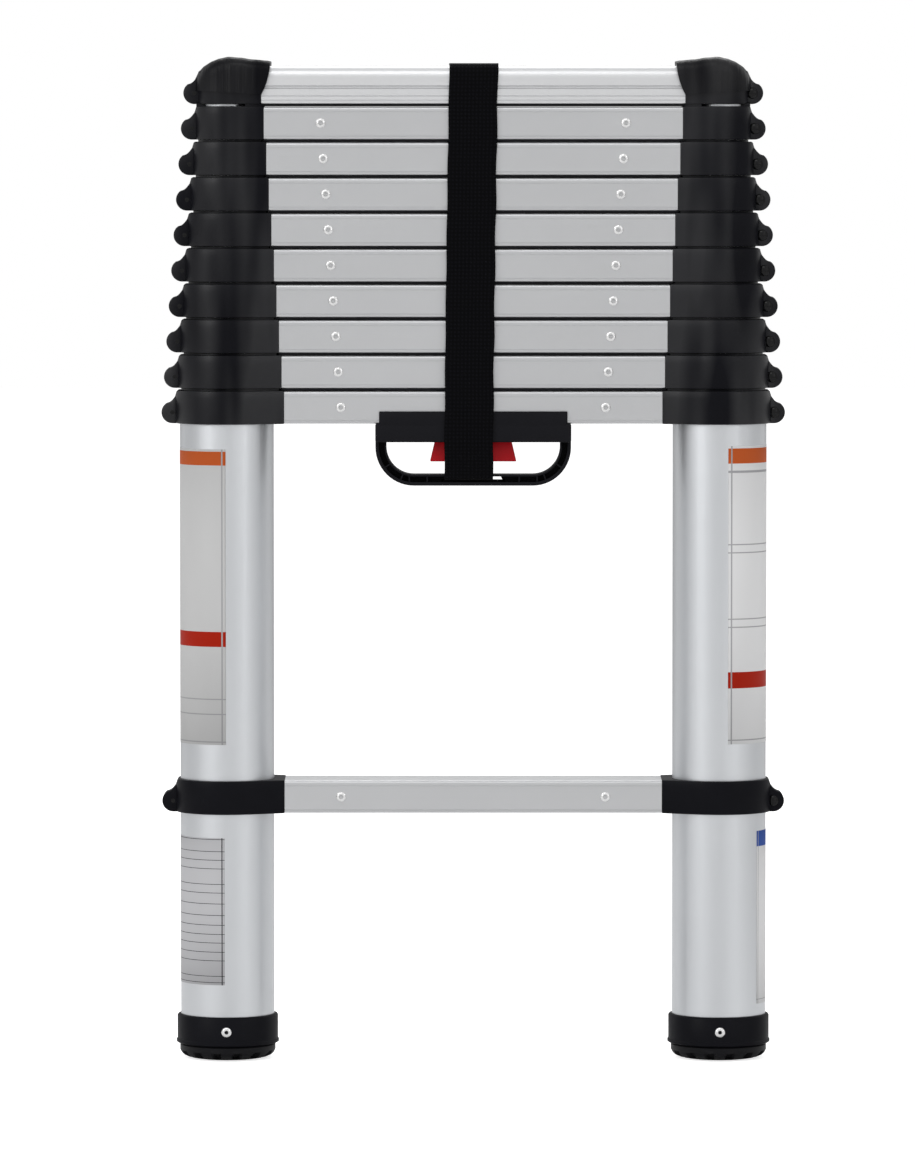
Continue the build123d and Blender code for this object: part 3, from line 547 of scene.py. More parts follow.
COLLAR_WALL = 4.2 * MM
COLLAR_REACH = 8.7 * MM
COLLAR_SIDE = 26.0 * MM
COLLAR_EDGE = 1.1 * MM
COLLAR_HEIGHT = 26.1 * MM
LIP_THICKNESS = 3.0 * MM
LUG_REACH = 14.2 * MM
LUG_RADIUS = 8.6 * MM
LUG_HALF = 9.0 * MM
LUG_SPLIT = 0.75 * MM
SHOULDER_DROP = 5.0 * MM
CUT_DROP = 6.0 * MM
CUT_DEPTH = 2.2 * MM
SEAT_INSET = 5.2 * MM
SEAT_RISE = 1.5 * MM
PAD_RISE = 2.2 * MM


def collar_plan(radius, inset=0.0):
    """Plan of the collar about its tube's axis, the rung towards +X, as (x, y)."""
    ring = radius + COLLAR_WALL - inset
    corner = (radius + COLLAR_REACH - inset * 0.6, COLLAR_SIDE - inset)
    reach = sqrt(corner[0] ** 2 + corner[1] ** 2)
    touch = atan2(corner[1], corner[0]) + acos(min(1.0, ring / reach))
    steps = 48
    points = []
    for i in range(steps + 1):
        turn = touch + (2 * pi - 2 * touch) * i / steps
        points.append((ring * cos(turn), ring * sin(turn)))
    nose = 1.2 * MM
    for i in range(5):
        turn = -pi / 2 + pi / 2 * i / 4
        points.append((corner[0] - nose + nose * cos(turn), -corner[1] + nose + nose * sin(turn)))
    for i in range(7):
        points.append((corner[0], (corner[1] - nose) * (i - 3) / 4))
    for i in range(5):
        turn = pi / 2 * i / 4
        points.append((corner[0] - nose + nose * cos(turn), corner[1] - nose + nose * sin(turn)))
    return points


def outer_cut(plan, radius, depth):
    """The plan with its outer side sliced flat, for the sloping corner above the lug."""
    limit = -(radius + COLLAR_WALL - depth)
    return [(max(x, limit), y) for x, y in plan]


def lug_loop(centre, ring, bottom, top, inset):
    """Outline of the lug in (x, z): round below and outside, with a hollow shoulder on top."""
    radius = LUG_RADIUS - inset
    points = []
    for i in range(23):
        turn = -pi / 2 - pi * 0.80 * i / 22
        points.append((centre[0] + radius * cos(turn), centre[1] + radius * sin(turn)))
    start = points[-1]
    end = (-ring + 0.6 * MM, top - SHOULDER_DROP - inset)
    sag = 1.3 * MM
    for i in range(1, 9):
        t = i / 8
        x = start[0] + (end[0] - start[0]) * t
        z = start[1] + (end[1] - start[1]) * t - sag * sin(pi * t)
        points.append((x, z))
    inside = -ring + 3 * MM
    points.append((inside, top - SHOULDER_DROP - inset))
    points.append((inside, bottom + inset))
    return points


def lug_half(shape, centre, ring, bottom, top, side):
    """One cheek of the split lug, its rims rounded."""
    loops = [(0.0, LUG_SPLIT), (0.0, LUG_HALF - 1.1 * MM), (0.4 * MM, LUG_HALF - 0.35 * MM), (1.1 * MM, LUG_HALF)]
    skin(shape, [[(x, side * y, z) for x, z in lug_loop(centre, ring, bottom, top, inset)] for inset, y in loops])


def collar_moulding(level, radius, next_radius, bottom, height):
    def make(shape):
        top = bottom + height
        plan = collar_plan(radius)
        eased = collar_plan(radius, COLLAR_EDGE)
        part = collar_plan(radius, COLLAR_EDGE * 0.3)
        turns = [atan2(y, x) for x, y in plan]
        seat = radius + 0.05 * MM
        lip = next_radius + 0.3 * MM

        def hole(size, z):
            return [(size * cos(turn), size * sin(turn), z) for turn in turns]

        loops = [
            [(x, y, bottom) for x, y in eased],
            [(x, y, bottom + COLLAR_EDGE * 0.3) for x, y in part],
            [(x, y, bottom + COLLAR_EDGE) for x, y in plan],
            [(x, y, top - CUT_DROP) for x, y in plan],
            [(x, y, top - COLLAR_EDGE) for x, y in outer_cut(plan, radius, CUT_DEPTH * 0.8)],
            [(x, y, top - COLLAR_EDGE * 0.3) for x, y in outer_cut(part, radius, CUT_DEPTH + COLLAR_EDGE * 0.3)],
            [(x, y, top) for x, y in outer_cut(eased, radius, CUT_DEPTH + COLLAR_EDGE)],
        ]
        if 0 < level < TOP - 1:
            ledge, ledge_top = collar_plan(radius, SEAT_INSET), top + SEAT_RISE
            loops += [[(x, y, top) for x, y in ledge], [(x, y, ledge_top) for x, y in ledge], hole(lip, ledge_top)]
            loops += [hole(lip, top - LIP_THICKNESS)]
        elif next_radius < radius:
            loops += [hole(lip + 0.5 * MM, top), hole(lip, top - 0.5 * MM), hole(lip, top - LIP_THICKNESS)]
            loops += [hole(seat, top - LIP_THICKNESS)]
        else:
            loops += [hole(seat, top)]
        loops += [hole(seat, bottom)]
        skin(shape, loops, closed=True)
        ring = radius + COLLAR_WALL
        centre = (-(radius + LUG_REACH - LUG_RADIUS), bottom + LUG_RADIUS)
        for side in (-1, 1):
            lug_half(shape, centre, ring, bottom, top, side)
    return make


def stop_pads(radius, next_radius, top):
    """Raised bars on both sides of the top collar's seat, where the end cap's collar rests."""
    def make(shape):
        side = COLLAR_SIDE - 2 * MM
        for near, far, half in ((next_radius * 0.8, radius + COLLAR_REACH - 2 * MM, side),
                                (-radius - 2 * MM, -next_radius * 0.8, 11 * MM)):
            loop = [(near, -half), (far, -half), (far, half), (near, half)]
            skin(shape, [[(x, y, z) for x, y in loop] for z in (top - 0.5 * MM, top + PAD_RISE)])
    return make


def tube_of(level):
    return tube_size("base_tubes" if level < 2 else f"section_{level}_tubes")


def collar_node(level):
    return "bottom_rung_collars" if level == 0 else f"rung_{level}_collars"


def collar_piece(level):
    node = collar_node(level)
    radius = tube_of(level)[1]
    has_next = 0 < level < TOP
    next_radius = tube_of(level + 1)[1] if has_next else radius
    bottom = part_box(node)[0].z
    moulding = collar_moulding(level, radius, next_radius, bottom, COLLAR_HEIGHT)
    pads = stop_pads(radius, next_radius, bottom + COLLAR_HEIGHT)

    def both(shape):
        moulding(shape)
        if level == TOP - 1:
            pads(shape)
        both_columns(shape)

    finish = nylon_low if level == 0 else nylon
    piece_from(both, node + "_moulded", [finish], body_of_level(level), "nylon", node, sharp=40)


for level in [0, 1] + SECTIONS:
    collar_piece(level)

# ------------------------------------------------------------
# Fasteners: bright blind rivets with a dark mandrel hole, through the rungs and the foot cups,
# and black domed clamp screws in the lugs, whose heads are in front on the right-hand side only.

RIVET_INSET = 44.2 * MM
RIVET_RADIUS = 3.9 * MM
RIVET_HEIGHT = 1.4 * MM
RIVET_STEPS = 28


def plain_metal(name, colour, roughness):
    finish, shader, tree = new_finish(name, colour, roughness, metallic=1.0)
    spread(tree, noise_on(tree, 1200.0), roughness - 0.06, roughness + 0.10, shader, "Roughness")
    return finish


def lathe_y(shape, profile, x, y, z, direction, steps=24):
    """A turned part whose axis runs along Y from (x, y, z)."""
    part = turned(shape, profile, steps)
    turn = Matrix.Rotation(radians(-90 * direction), 4, "X")
    moved(shape, part, Matrix.Translation((x, y, z)) @ turn)


def four_rivets(shape, column_x, face, z):
    """Domed heads with a rolled rim round the mandrel's hole, front and back at both columns."""
    profile = [(0.9, -3 * MM), (1.0, 0.0), (1.0, RIVET_HEIGHT * 0.25), (0.86, RIVET_HEIGHT * 0.7), (0.60, RIVET_HEIGHT),
               (0.42, RIVET_HEIGHT * 0.96), (0.34, RIVET_HEIGHT * 0.7), (0.32, -2.0 * MM)]
    for column in (-1, 1):
        for side in (-1, 1):
            head = [(RIVET_RADIUS * share, height) for share, height in profile]
            lathe_y(shape, head, column * column_x, side * face, z, side, RIVET_STEPS)


def rivets_of(level):
    low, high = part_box(rung_node(level))
    x = COLUMN_X - tube_of(level)[1] - COLLAR_REACH - RIVET_INSET

    def make(shape):
        four_rivets(shape, x, high.y, low.z + RUNG_MIDDLE)
        if level == 0:
            foot_low, foot_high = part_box("foot_sockets")
            four_rivets(shape, COLUMN_X, foot_high.y - 1.0 * MM, (foot_low.z + foot_high.z) / 2)
    return make


def clamp_screws(level):
    radius = tube_of(level)[1]
    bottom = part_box(collar_node(level))[0].z
    x = -(radius + LUG_REACH - LUG_RADIUS)
    z = bottom + LUG_RADIUS

    def make(shape):
        head = [(4.4 * MM, -1.0 * MM), (4.4 * MM, 0.1 * MM), (4.15 * MM, 0.55 * MM), (3.5 * MM, 1.1 * MM),
                (2.5 * MM, 1.6 * MM), (1.3 * MM, 1.9 * MM), (0.4 * MM, 2.0 * MM)]
        lathe_y(shape, head, x, LUG_HALF, z, 1, 32)
        tail = [(1.7 * MM, -1.5 * MM), (1.7 * MM, 0.02 * MM), (1.3 * MM, 0.12 * MM)]
        lathe_y(shape, tail, x, -LUG_HALF, z, -1)
        both_columns(shape)
    return make


rivet_metal = plain_metal("rivet_bright", (0.80, 0.80, 0.80), 0.22)
screw_black = new_finish("screw_black", (0.003, 0.003, 0.0035), 0.10, specular=0.22)[0]
steel = plain_metal("spring_steel", (0.55, 0.55, 0.56), 0.3)


def fastener_node(level):
    if level < 2:
        return "base_fasteners"
    return "top_rung_fasteners" if level == TOP else f"rung_{level}_locks"


for level in [0, 1] + SECTIONS:
    body, node = body_of_level(level), fastener_node(level)
    label = "bottom_rung" if level == 0 else f"rung_{level}"
    if level < TOP:
        piece_from(rivets_of(level), label + "_rivets", [rivet_metal], body, "steel", node)
    piece_from(clamp_screws(level), label + "_clamp_screws", [screw_black], body, "steel", node)

# ------------------------------------------------------------
# Locks: in the end of every rung a steel pin waits behind a coil spring for the hole in the next
# tube. In rung 1 the pins carry on as pull rods to the trigger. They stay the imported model's own,
# and only their springs are made here.

PIN_RADIUS = 5.0 * MM
PIN_TIP_GAP = 0.3 * MM
PIN_FLANGE = 22.0 * MM
PIN_TAIL = 67.7 * MM
SPRING_TURNS = 7
SPRING_RADIUS = 4.75 * MM
SPRING_WIRE = 0.5 * MM
SPRING_START = 25.3 * MM
SPRING_END = 58.2 * MM


def along_x(shape, verts, x, z):
    """Lays what was turned about Z along +X from x."""
    moved(shape, verts, Matrix.Translation((x, 0, z)) @ Matrix.Rotation(pi / 2, 4, "Y"))


def spring_coil(shape, level):
    """The lock's coil spring, from the pin's flange to its seat in the rung, as new vertices."""
    before = set(shape.verts)
    verts, ring = ring_of(shape, [(x, 0, y) for x, y, _ in circle(SPRING_WIRE, 0, 8, (SPRING_RADIUS, 0))])
    rise = SPRING_END - SPRING_START
    steps = SPRING_TURNS * 20
    bmesh.ops.contextual_create(shape, geom=ring)
    spun = bmesh.ops.spin(shape, geom=verts + ring, cent=(0, 0, 0), axis=(0, 0, 1), dvec=(0, 0, rise / steps),
                          angle=2 * pi * SPRING_TURNS, steps=steps)
    last = [item for item in spun["geom_last"] if isinstance(item, bmesh.types.BMEdge)]
    bmesh.ops.contextual_create(shape, geom=last)
    coil = [vert for vert in shape.verts if vert not in before]
    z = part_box(rung_node(level))[0].z + RUNG_MIDDLE
    along_x(shape, coil, tube_of(level)[1] + SPRING_START, z)


def release_spring(side):
    """The spring behind one of rung 1's pins, -1 for the left column and 1 for the right."""
    def make(shape):
        spring_coil(shape, 1)
        turn = Matrix.Rotation(pi if side > 0 else 0, 4, "Z")
        moved(shape, shape.verts[:], Matrix.Translation((side * COLUMN_X, 0, 0)) @ turn)
    return make


def lock_hardware(level):
    radius = tube_of(level)[1]
    tip = tube_of(level + 1)[1] + PIN_TIP_GAP
    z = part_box(rung_node(level))[0].z + RUNG_MIDDLE

    def make(shape):
        flange = radius + PIN_FLANGE - tip
        tail = radius + PIN_TAIL - tip
        pin = turned(shape, [
            (PIN_RADIUS - 0.6 * MM, 0.0), (PIN_RADIUS, 0.6 * MM), (PIN_RADIUS, flange), (7 * MM, flange),
            (7 * MM, flange + 3 * MM), (2.5 * MM, flange + 3 * MM), (2.5 * MM, tail),
        ], 32)
        along_x(shape, pin, tip, z)
        spring_coil(shape, level)
        both_columns(shape)
    return make


for level in SECTIONS[:-1]:
    piece_from(lock_hardware(level), f"rung_{level}_pins_and_springs", [steel], body_of_level(level), "steel",
               f"rung_{level}_locks")
for side, name in ((-1, "left"), (1, "right")):
    coil = piece_from(release_spring(side), f"release_spring_{name}", [steel], "base_section", "steel",
                      "release_springs")
    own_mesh(coil)
for node in ["left_lock_pin", "right_lock_pin"]:
    frame["nodes"][node].data.materials.clear()
    frame["nodes"][node].data.materials.append(steel)
for level in SECTIONS:
    frame["nodes"][f"section_{level}_guides"].data.materials.clear()
    frame["nodes"][f"section_{level}_guides"].data.materials.append(nylon)

# ------------------------------------------------------------
# Carry handle: one nylon moulding under rung 1. A plain body has lips over the rung's faces, and
# below it hangs a D grip made like a channel: a web between two flanges, stiffened by ribs, with
# a window at the bottom for the strap.

GRIP_CORNER = 30.0 * MM
GRIP_BAR = 8.5 * MM
GRIP_HALF = 14.0 * MM
OUTER_FLANGE = 2.9 * MM
INNER_FLANGE = 1.3 * MM
WEB_HALF = 1.5 * MM
LIP_HEIGHT = 9.6 * MM
LIP_HALF_WIDTH = 73.5 * MM
BODY_HEIGHT = 14.5 * MM
WINDOW_HALF = 24.0 * MM
WINDOW_SLANT = 3.0 * MM
RIB_PLACES = [36.0 * MM, 50.0 * MM]
HANDLE_SCREW_X = 58.0 * MM
HANDLE_SCREW_RADIUS = 3.1 * MM
handle_low, handle_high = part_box("carry_handle")
HANDLE_TOP = handle_high.z - LIP_HEIGHT
BODY_LOW = HANDLE_TOP - BODY_HEIGHT


def prism_y(shape, outline, half, edge=0.0, segments=2, place=Matrix()):
    """A solid from an (x, z) outline, from -half to half in Y, put in its place, its rims rounded."""
    solid = skin(shape, [[(x, y, z) for x, z in outline] for y in (-half, half)])
    moved(shape, solid, place)
    if edge:
        own = {rim for vert in solid for rim in vert.link_edges}
        rims = [rim for rim in own if rim.is_manifold and rim.calc_face_angle(0) > radians(50)]
        bmesh.ops.bevel(shape, geom=rims, offset=edge, segments=segments, profile=0.5, affect="EDGES",
                        material=-1, clamp_overlap=True)


def box_outline(x0, x1, z0, z1):
    return [(x0, z0), (x1, z0), (x1, z1), (x0, z1)]


def grip_path(inset, steps=14):
    """The D's outline from the body down one side, across and up the other, as (x, z)."""
    half = handle_high.x - inset
    low = handle_low.z + inset
    corner = GRIP_CORNER - inset
    points = [(-half, BODY_LOW + 2 * MM)]
    points += [(x, z) for x, z in rounded_side((-half + corner, low + corner), corner, pi, steps)]
    points += [(x, z) for x, z in rounded_side((half - corner, low + corner), corner, 1.5 * pi, steps)]
    points.append((half, BODY_LOW + 2 * MM))
    return points


def flange(shape, outside, inside, half, edge):
    outline = grip_path(outside) + grip_path(inside)[::-1]
    prism_y(shape, outline, half, edge)


def carry_handle(shape):
    body_half = handle_high.y
    prism_y(shape, box_outline(handle_low.x, handle_high.x, BODY_LOW, HANDLE_TOP), body_half, 1.4 * MM, 3)
    rung_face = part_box("rung_1")[1].y
    for side in (-1, 1):
        wall = body_half - rung_face
        outline = box_outline(-LIP_HALF_WIDTH, LIP_HALF_WIDTH, HANDLE_TOP - 2 * MM, handle_high.z)
        middle = Matrix.Translation((0, side * (rung_face + wall / 2), 0))
        prism_y(shape, outline, wall / 2, 0.7 * MM, place=middle)
    flange(shape, 0.0, OUTER_FLANGE, GRIP_HALF, 0.8 * MM)
    flange(shape, GRIP_BAR - INNER_FLANGE, GRIP_BAR, GRIP_HALF, 0.4 * MM)
    foot, sill_top = handle_low.z + OUTER_FLANGE * 0.7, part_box("strap")[0].z - 0.1 * MM
    prism_y(shape, box_outline(-WINDOW_HALF - MM, WINDOW_HALF + MM, foot, sill_top), WEB_HALF)
    for side in (-1, 1):
        web = [(x, z) for x, z in grip_path(OUTER_FLANGE * 0.7) if x * side > 0]
        back = [(x, z) for x, z in grip_path(GRIP_BAR - INNER_FLANGE * 0.5) if x * side > 0]
        low_end = (side * WINDOW_HALF, foot)
        high_end = (side * (WINDOW_HALF - WINDOW_SLANT), handle_low.z + GRIP_BAR - INNER_FLANGE * 0.5)
        outline = web + [low_end, high_end] + back[::-1] if side < 0 else [low_end] + web + back[::-1] + [high_end]
        prism_y(shape, outline, WEB_HALF)
        for place in RIB_PLACES:
            x = side * place
            rib = box_outline(x - 0.6 * MM, x + 0.6 * MM, handle_low.z + 1.5 * MM, handle_low.z + GRIP_BAR - 0.6 * MM)
            prism_y(shape, rib, GRIP_HALF - 0.8 * MM, 0.2 * MM, 1)
        for turn in (35, 68):
            corner = (side * (handle_high.x - GRIP_CORNER), handle_low.z + GRIP_CORNER)
            reach = GRIP_CORNER - GRIP_BAR / 2
            bar = box_outline(-0.6 * MM, 0.6 * MM, -GRIP_BAR / 2 + 1.5 * MM, GRIP_BAR / 2 - 0.6 * MM)
            lean = Matrix.Rotation(-side * radians(90 - turn), 4, "Y")
            middle = Matrix.Translation((corner[0] + side * reach * cos(radians(turn)), 0,
                                         corner[1] - reach * sin(radians(turn))))
            prism_y(shape, bar, GRIP_HALF - 0.8 * MM, 0.2 * MM, 1, middle @ lean)


def handle_screws(shape):
    """Two black domed heads under the handle's body, either side of the trigger."""
    for side in (-1, 1):
        head = [(0.3, -1.1 * MM), (0.8, -0.8 * MM), (1.0, -0.2 * MM), (1.0, 2.0 * MM)]
        screw = turned(shape, [(HANDLE_SCREW_RADIUS * share, height) for share, height in head], 28)
        moved(shape, screw, Matrix.Translation((side * HANDLE_SCREW_X, 0, BODY_LOW)))


handle_nylon = moulded_black("handle_nylon", (0.0050, 0.0050, 0.0068), 0.50, 1300.0, 0.0002, 0.09)
piece_from(carry_handle, "carry_handle_moulded", [handle_nylon], "base_section", "handle_nylon", "carry_handle")
piece_from(handle_screws, "handle_screws_domed", [screw_black], "base_section", "steel", "base_fasteners")

# ------------------------------------------------------------
# Release trigger: a red moulding between the handle's body and the grip, wider at its lower edge,
# with a hollow for the fingers. Its flat plate runs up into the rung to the pull rods.

TRIGGER_RED = (0.40, 0.005, 0.010)
TRIGGER_TOP_HALF = 30.0 * MM
TRIGGER_LOW_HALF = 33.8 * MM


def release_trigger(shape):
    low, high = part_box("release_trigger")
    top = BODY_LOW + 0.5 * MM
    outline = [(-TRIGGER_LOW_HALF, low.z), (TRIGGER_LOW_HALF, low.z), (TRIGGER_TOP_HALF, top), (-TRIGGER_TOP_HALF, top)]
    prism_y(shape, outline, high.y, 0.9 * MM, 3)
    plate = box_outline(-29 * MM, 29 * MM, top - 1 * MM, high.z)
    prism_y(shape, plate, 3 * MM, 0.3 * MM, 1)


trigger_red = moulded_black("trigger_red", TRIGGER_RED, 0.34, 1500.0, 0.0001, 0.12)
piece_from(release_trigger, "release_trigger_moulded", [trigger_red], "trigger", "trigger_red", "release_trigger")

# ------------------------------------------------------------
# End caps: soft black mouldings pushed over the top collars and the ends of the top rung, which
# the ladder leans on. They are domed over the tube, fall towards the rung, and have shallow
# flutes down their flanks.

CAP_WALL = 2.9 * MM
CAP_END_WALL = 2.0 * MM
CAP_ALONG = 44
CAP_AROUND = 26
CAP_FLUTES = 13
CAP_LEAN = 11.0 * MM
CAP_LEAN_FROM = 33.0 * MM
CROWN = [(0.0, 15.0), (0.02, 19.5), (0.06, 24.3), (0.13, 28.8), (0.23, 32.6), (0.34, 35.2), (0.46, 36.5), (0.60, 35.9),
         (0.78, 34.4), (0.97, 33.5), (1.0, 33.0)]


def crown_height(t):
    """Height of the cap's top above the rung's underside, at t along it from the outer end."""
    for (t0, z0), (t1, z1) in zip(CROWN, CROWN[1:]):
        if t <= t1:
            s = (t - t0) / (t1 - t0)
            s = s * s * (3 - 2 * s) if t0 > 0.3 else s
            return (z0 + (z1 - z0) * s) * MM
    return CROWN[-1][1] * MM


def end_cap(shape):
    """Cross-sections from the outer end to the rung, each a skirt, a rounded shoulder and a top."""
    radius = tube_of(TOP)[1]
    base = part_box("top_rung")[0].z
    outer = radius + COLLAR_WALL + CAP_END_WALL
    flat = COLLAR_SIDE + CAP_WALL
    loops = []
    for i in range(CAP_ALONG + 1):
        t = min(1.0, max(0.0, 1 - cos(pi / 2 * (i + 0.6) / (CAP_ALONG + 0.6))))
        x_flat = -outer + t * (outer + radius + COLLAR_REACH + 7.0 * MM)
        ring = sqrt(max(outer ** 2 - x_flat ** 2, 0.0)) if x_flat < 0 else outer
        lean = min(1.0, max(0.0, x_flat / (radius + COLLAR_REACH)))
        wide = ring if x_flat < 0 else outer + (flat - outer) * sqrt(lean)
        top = crown_height(t)
        low = (7.0 + 3.2 * (1 - t)) * MM
        shoulder = min(9.0 * MM, wide * 0.9, (top - low) * 0.75)
        loop = []
        for j in range(CAP_AROUND + 1):
            s = j / CAP_AROUND * 2 - 1
            side = 1 if s >= 0 else -1
            s = abs(s)
            if s < 0.35:
                y, z = s / 0.35 * (wide - shoulder), top
            elif s < 0.65:
                turn = (s - 0.35) / 0.30 * pi / 2
                y = wide - shoulder + shoulder * sin(turn)
                z = top - shoulder + shoulder * cos(turn)
            else:
                y = wide
                z = top - shoulder - (s - 0.65) / 0.35 * (top - shoulder - low)
            below = (CAP_LEAN_FROM - min(z, CAP_LEAN_FROM)) / CAP_LEAN_FROM
            slant = max(0.0, t - 0.55) / 0.45 * CAP_LEAN * below ** 2.0
            loop.append((x_flat - slant, side * y, base + z))
        loops.append(loop)
    for i, loop in enumerate(loops):
        wave = 0.5 + 0.5 * cos(2 * pi * i / CAP_ALONG * CAP_FLUTES)
        dip = (wave ** 3) * 0.35 * MM
        for j, (x, y, z) in enumerate(loop):
            s = abs(j / CAP_AROUND * 2 - 1)
            if s > 0.5 and abs(y) > 3 * MM:
                loop[j] = (x, y - dip * (1 if y > 0 else -1) * min(1.0, (s - 0.5) / 0.15), z)
    skin(shape, loops)


cap_rubber = moulded_black("cap_rubber", (0.0040, 0.0040, 0.0052), 0.34, 900.0, 0.0009, 0.16,
                           sheen=(0.04, 0.30), ribs=(620, 260, 14))
piece_from(pair_from(end_cap), "end_caps_moulded", [cap_rubber], body_of_level(TOP), "rubber", "end_caps",
           sharp=42)

# ------------------------------------------------------------
# Strap: black polyester webbing, one loop round the closed stack. It comes through the window in
# the grip, runs up the front over the handle and the rungs, round the top rung and down the back.

STRAP_WIDTH = 38.0 * MM
STRAP_THICKNESS = 1.7 * MM
STRAP_TOP_X = 0.4 * MM
STRAP_LOW_X = -3.6 * MM
STRAP_WAVE = 0.35 * MM
STRAP_WARPS = 26.0
STRAP_WEFTS = 480.0
STRAP_ACROSS = 10
STRAP_ALONG = 420


def strap_line():
    """The loop's corners in (y, z), each with its radius, from the window up the front."""
    low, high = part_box("strap")
    half = STRAP_THICKNESS / 2 + 0.1 * MM
    window_z = low.z + half
    lip_y = high.y - half
    face_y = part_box("top_rung")[1].y + 0.4 * MM + half
    top_z = high.z - half
    front = [(-15.6 * MM, window_z, 4 * MM), (-lip_y, BODY_LOW - 1 * MM, 14 * MM),
             (-lip_y, handle_high.z - 2 * MM, 30 * MM), (-face_y, top_z, 9 * MM)]
    return front + [(-y, z, r) for y, z, r in front[::-1]]


def rounded_loop(corners, spacing):
    """Evenly spaced points along a closed line whose corners are arcs."""
    points = []
    count = len(corners)
    for i in range(count):
        here = Vector(corners[i][:2])
        before = (Vector(corners[i - 1][:2]) - here).normalized()
        after = (Vector(corners[(i + 1) % count][:2]) - here).normalized()
        half_turn = before.angle(after) / 2
        reach = corners[i][2] / max(0.05, sin(half_turn)) * cos(half_turn)
        centre = here + (before + after).normalized() * corners[i][2] / sin(half_turn)
        first, last = here + before * reach, here + after * reach
        sweep = (first - centre).angle(last - centre)
        turn = atan2((first - centre).cross(last - centre), (first - centre).dot(last - centre))
        steps = max(2, int(sweep / radians(6)))
        for k in range(steps + 1):
            arm = first - centre
            arm.rotate(Matrix.Rotation(turn * k / steps, 2))
            points.append(centre + arm)
    closed = points + [points[0]]
    lengths = [0.0]
    for a, b in zip(closed, closed[1:]):
        lengths.append(lengths[-1] + (b - a).length)
    total = lengths[-1]
    even = []
    k = 0
    for n in range(spacing):
        want = total * n / spacing
        while lengths[k + 1] < want:
            k += 1
        share = (want - lengths[k]) / (lengths[k + 1] - lengths[k])
        even.append(closed[k].lerp(closed[k + 1], share))
    return even, total


strap_points, STRAP_LENGTH = rounded_loop(strap_line(), STRAP_ALONG)


def webbing(shape):
    """A flat grid bent into the loop, its side edges slightly wavy; its thickness is given afterwards."""
    shape.loops.layers.uv.new("weave")
    bmesh.ops.create_grid(shape, x_segments=STRAP_ACROSS, y_segments=STRAP_ALONG, size=0.5, calc_uvs=True)
    low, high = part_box("strap")
    for vert in shape.verts:
        across, along = vert.co.x, (vert.co.y + 0.5) * STRAP_ALONG
        index = int(round(along)) % STRAP_ALONG
        y, z = strap_points[index]
        share = min(1.0, max(0.0, (z - low.z) / (high.z - low.z)))
        middle = STRAP_LOW_X + (STRAP_TOP_X - STRAP_LOW_X) * share ** 1.4
        edge = STRAP_WAVE * sin(index * 0.21) * (1 if across > 0 else 0.6)
        vert.co = (middle + across * STRAP_WIDTH + edge * abs(across) * 2, y, z)
    bmesh.ops.remove_doubles(shape, verts=shape.verts, dist=0.01 * MM)


def woven_black(name, colour):
    """Webbing: warp cords along the strap crossed by weft, in bump and in a slight sheen. The colour
    follows the weave too: painted shade in its hollows and a painted sheen on its crowns.
    """
    finish, shader, tree = new_finish(name, colour, 0.82, specular=0.05)
    shader.inputs["Sheen Weight"].default_value = 0.03
    shader.inputs["Sheen Roughness"].default_value = 0.4
    uv = added(tree, "UVMap", uv_map="weave")
    both = added(tree, "Math", operation="MULTIPLY")
    for socket, (direction, count) in enumerate((("X", STRAP_WARPS), ("Y", STRAP_WEFTS))):
        wave = added(tree, "TexWave", bands_direction=direction, Scale=count / 20.0 * pi, Distortion=0.15)
        wire(uv, "UV", wave, "Vector")
        wire(wave, "Fac", both, socket)
    bumped(tree, both, 0, 0.6, 0.0005, shader)
    # Painted shade and sheen: the colour is darker where the weave is low and lighter where it is high.
    tinted(tree, both, 0, colour, 0.5, 1.9, shader)
    return finish


def thickened(piece, thickness):
    """Gives a surface its thickness, both ways from its middle."""
    solid = piece.modifiers.new("thickness", "SOLIDIFY")
    solid.thickness = thickness
    solid.offset = 0.0
    solid.use_even_offset = True
    with bpy.context.temp_override(object=piece, active_object=piece, selected_objects=[piece]):
        bpy.ops.object.modifier_apply(modifier=solid.name)


webbing_black = woven_black("webbing_black", (0.0019, 0.0019, 0.0027))
strap = piece_from(webbing, "carry_strap", [webbing_black], "base_section", "webbing", "strap", sharp=60)
thickened(strap, STRAP_THICKNESS)
low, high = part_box("strap")
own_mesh(strap)

# ------------------------------------------------------------
# Decals: four printed films on the outer sides of the base tubes, two high and two low. They are
# left without any lettering: only their borders, ruled lines and coloured bands are here.

DECAL_LIFT = 0.10 * MM
DECAL_FILM = 0.10 * MM
RULE_HEIGHT = 0.0045
FILM_WHITE = (0.66, 0.66, 0.665)
# The upper left film is white; its darker colour here is painted shade.
SHADED_FILM_WHITE = (0.50, 0.50, 0.50)
FILM_FORM = (0.47, 0.47, 0.485)
ORANGE = (0.46, 0.088, 0.020)
RED = (0.34, 0.012, 0.002)
BLUE = (0.03, 0.08, 0.33)
RULE_GREY = (0.33, 0.33, 0.34)
RULE_DARK = (0.03, 0.03, 0.035)


def decal(name, column, inner_turn, outer_turn, z0, z1, finish):
    """A film on a base tube between two angles from the front, measured towards the outside."""
    def make(shape):
        shape.loops.layers.uv.new("print")
        bmesh.ops.create_grid(shape, x_segments=40, y_segments=2, size=0.5, calc_uvs=True)
        radius = BASE_RADIUS + DECAL_LIFT
        for vert in shape.verts:
            turn = radians(inner_turn + (outer_turn - inner_turn) * (vert.co.x + 0.5))
            z = z0 + (z1 - z0) * (vert.co.y + 0.5)
            vert.co = (column * (COLUMN_X + radius * sin(turn)), -radius * cos(turn), z)
    piece = piece_from(make, name, [finish], "base_section", "nylon", sharp=60)
    thickened(piece, DECAL_FILM)
    return piece


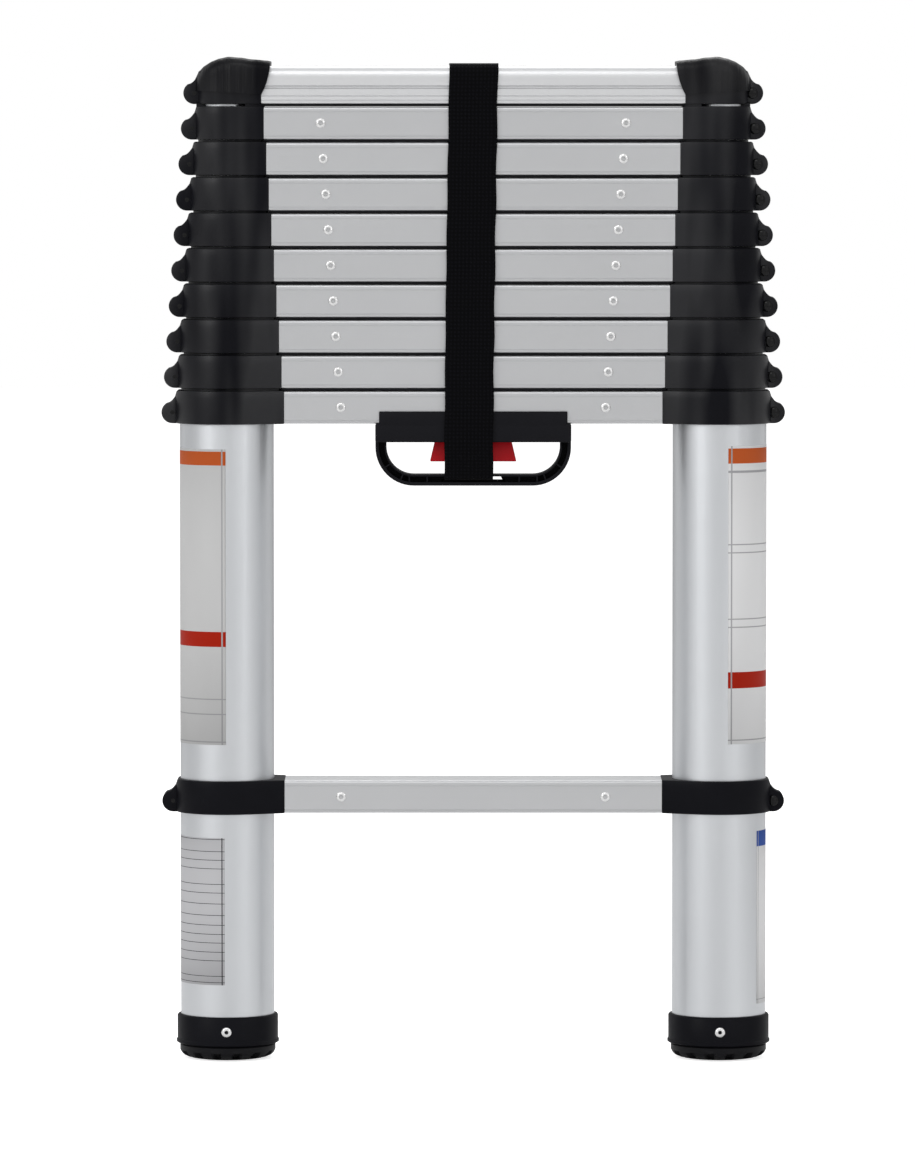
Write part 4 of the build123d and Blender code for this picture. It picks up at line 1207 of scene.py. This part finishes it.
def stepped(tree, stops):
    """A ramp that steps to each stop's colour at its place."""
    ramp = added(tree, "ValToRGB")
    ramp.color_ramp.interpolation = "CONSTANT"
    elements = ramp.color_ramp.elements
    for index, (place, colour) in enumerate(stops):
        element = elements[index] if index < 2 else elements.new(place)
        element.position, element.color = place, (*colour, 1)
    return ramp


def printed_film(name, film, bands, rules, rule_colour, border):
    """A film printed by height: coloured bands, thin rules, and a border along its sides."""
    finish, shader, tree = new_finish(name, film, 0.5, specular=0.08)
    uv = added(tree, "UVMap", uv_map="print")
    split = added(tree, "SeparateXYZ")
    wire(uv, "UV", split, 0)
    stops = [(0.0, film)]
    for low, high, colour in bands:
        stops += [(low, colour), (high, film)]
    for height in rules:
        stops += [(height, rule_colour), (height + RULE_HEIGHT, film)]
    heights = stepped(tree, sorted(stops, key=lambda stop: stop[0]))
    wire(split, "Y", heights, 0)
    sides = stepped(tree, [(0.0, (0, 0, 0)), (border[0], (1, 1, 1)), (border[1], (0, 0, 0))])
    wire(split, "X", sides, 0)
    mix = added(tree, "Mix", data_type="RGBA", B=(*rule_colour, 1))
    wire(sides, "Color", mix, "Factor")
    wire(heights, "Color", mix, "A")
    wire(mix, "Result", shader, "Base Color")
    return finish


# Painted shade: the upper left film is printed in a darkened white.
upper_left = printed_film("film_upper_left", SHADED_FILM_WHITE, [(0.944, 0.990, ORANGE), (0.330, 0.382, RED)],
                          [0.005, 0.15, 0.10], RULE_GREY, (0.03, 0.045))
upper_right = printed_film("film_upper_right", FILM_WHITE, [(0.938, 0.992, ORANGE), (0.186, 0.242, RED)],
                           [0.01, 0.91, 0.665, 0.64, 0.415, 0.39], RULE_GREY, (0.03, 0.045))
form_rules = [0.012, 0.056, 0.162, 0.222, 0.283, 0.343, 0.404, 0.470, 0.550, 0.623, 0.682, 0.788, 0.845,
              0.904, 0.985]
lower_left = printed_film("film_lower_left", FILM_FORM, [], form_rules, RULE_DARK, (0.02, 0.035))
lower_right = printed_film("film_lower_right", FILM_WHITE, [(0.91, 1.0, BLUE)], [0.02], RULE_GREY, (0.03, 0.045))
decal("decal_upper_left", -1, 0, 118, 0.2485, 0.4795, upper_left)
decal("decal_upper_right", 1, 9, 118, 0.2490, 0.4820, upper_right)
decal("decal_lower_left", -1, 2, 112, 0.0600, 0.1755, lower_left)
decal("decal_lower_right", 1, 52, 128, 0.0440, 0.1800, lower_right)
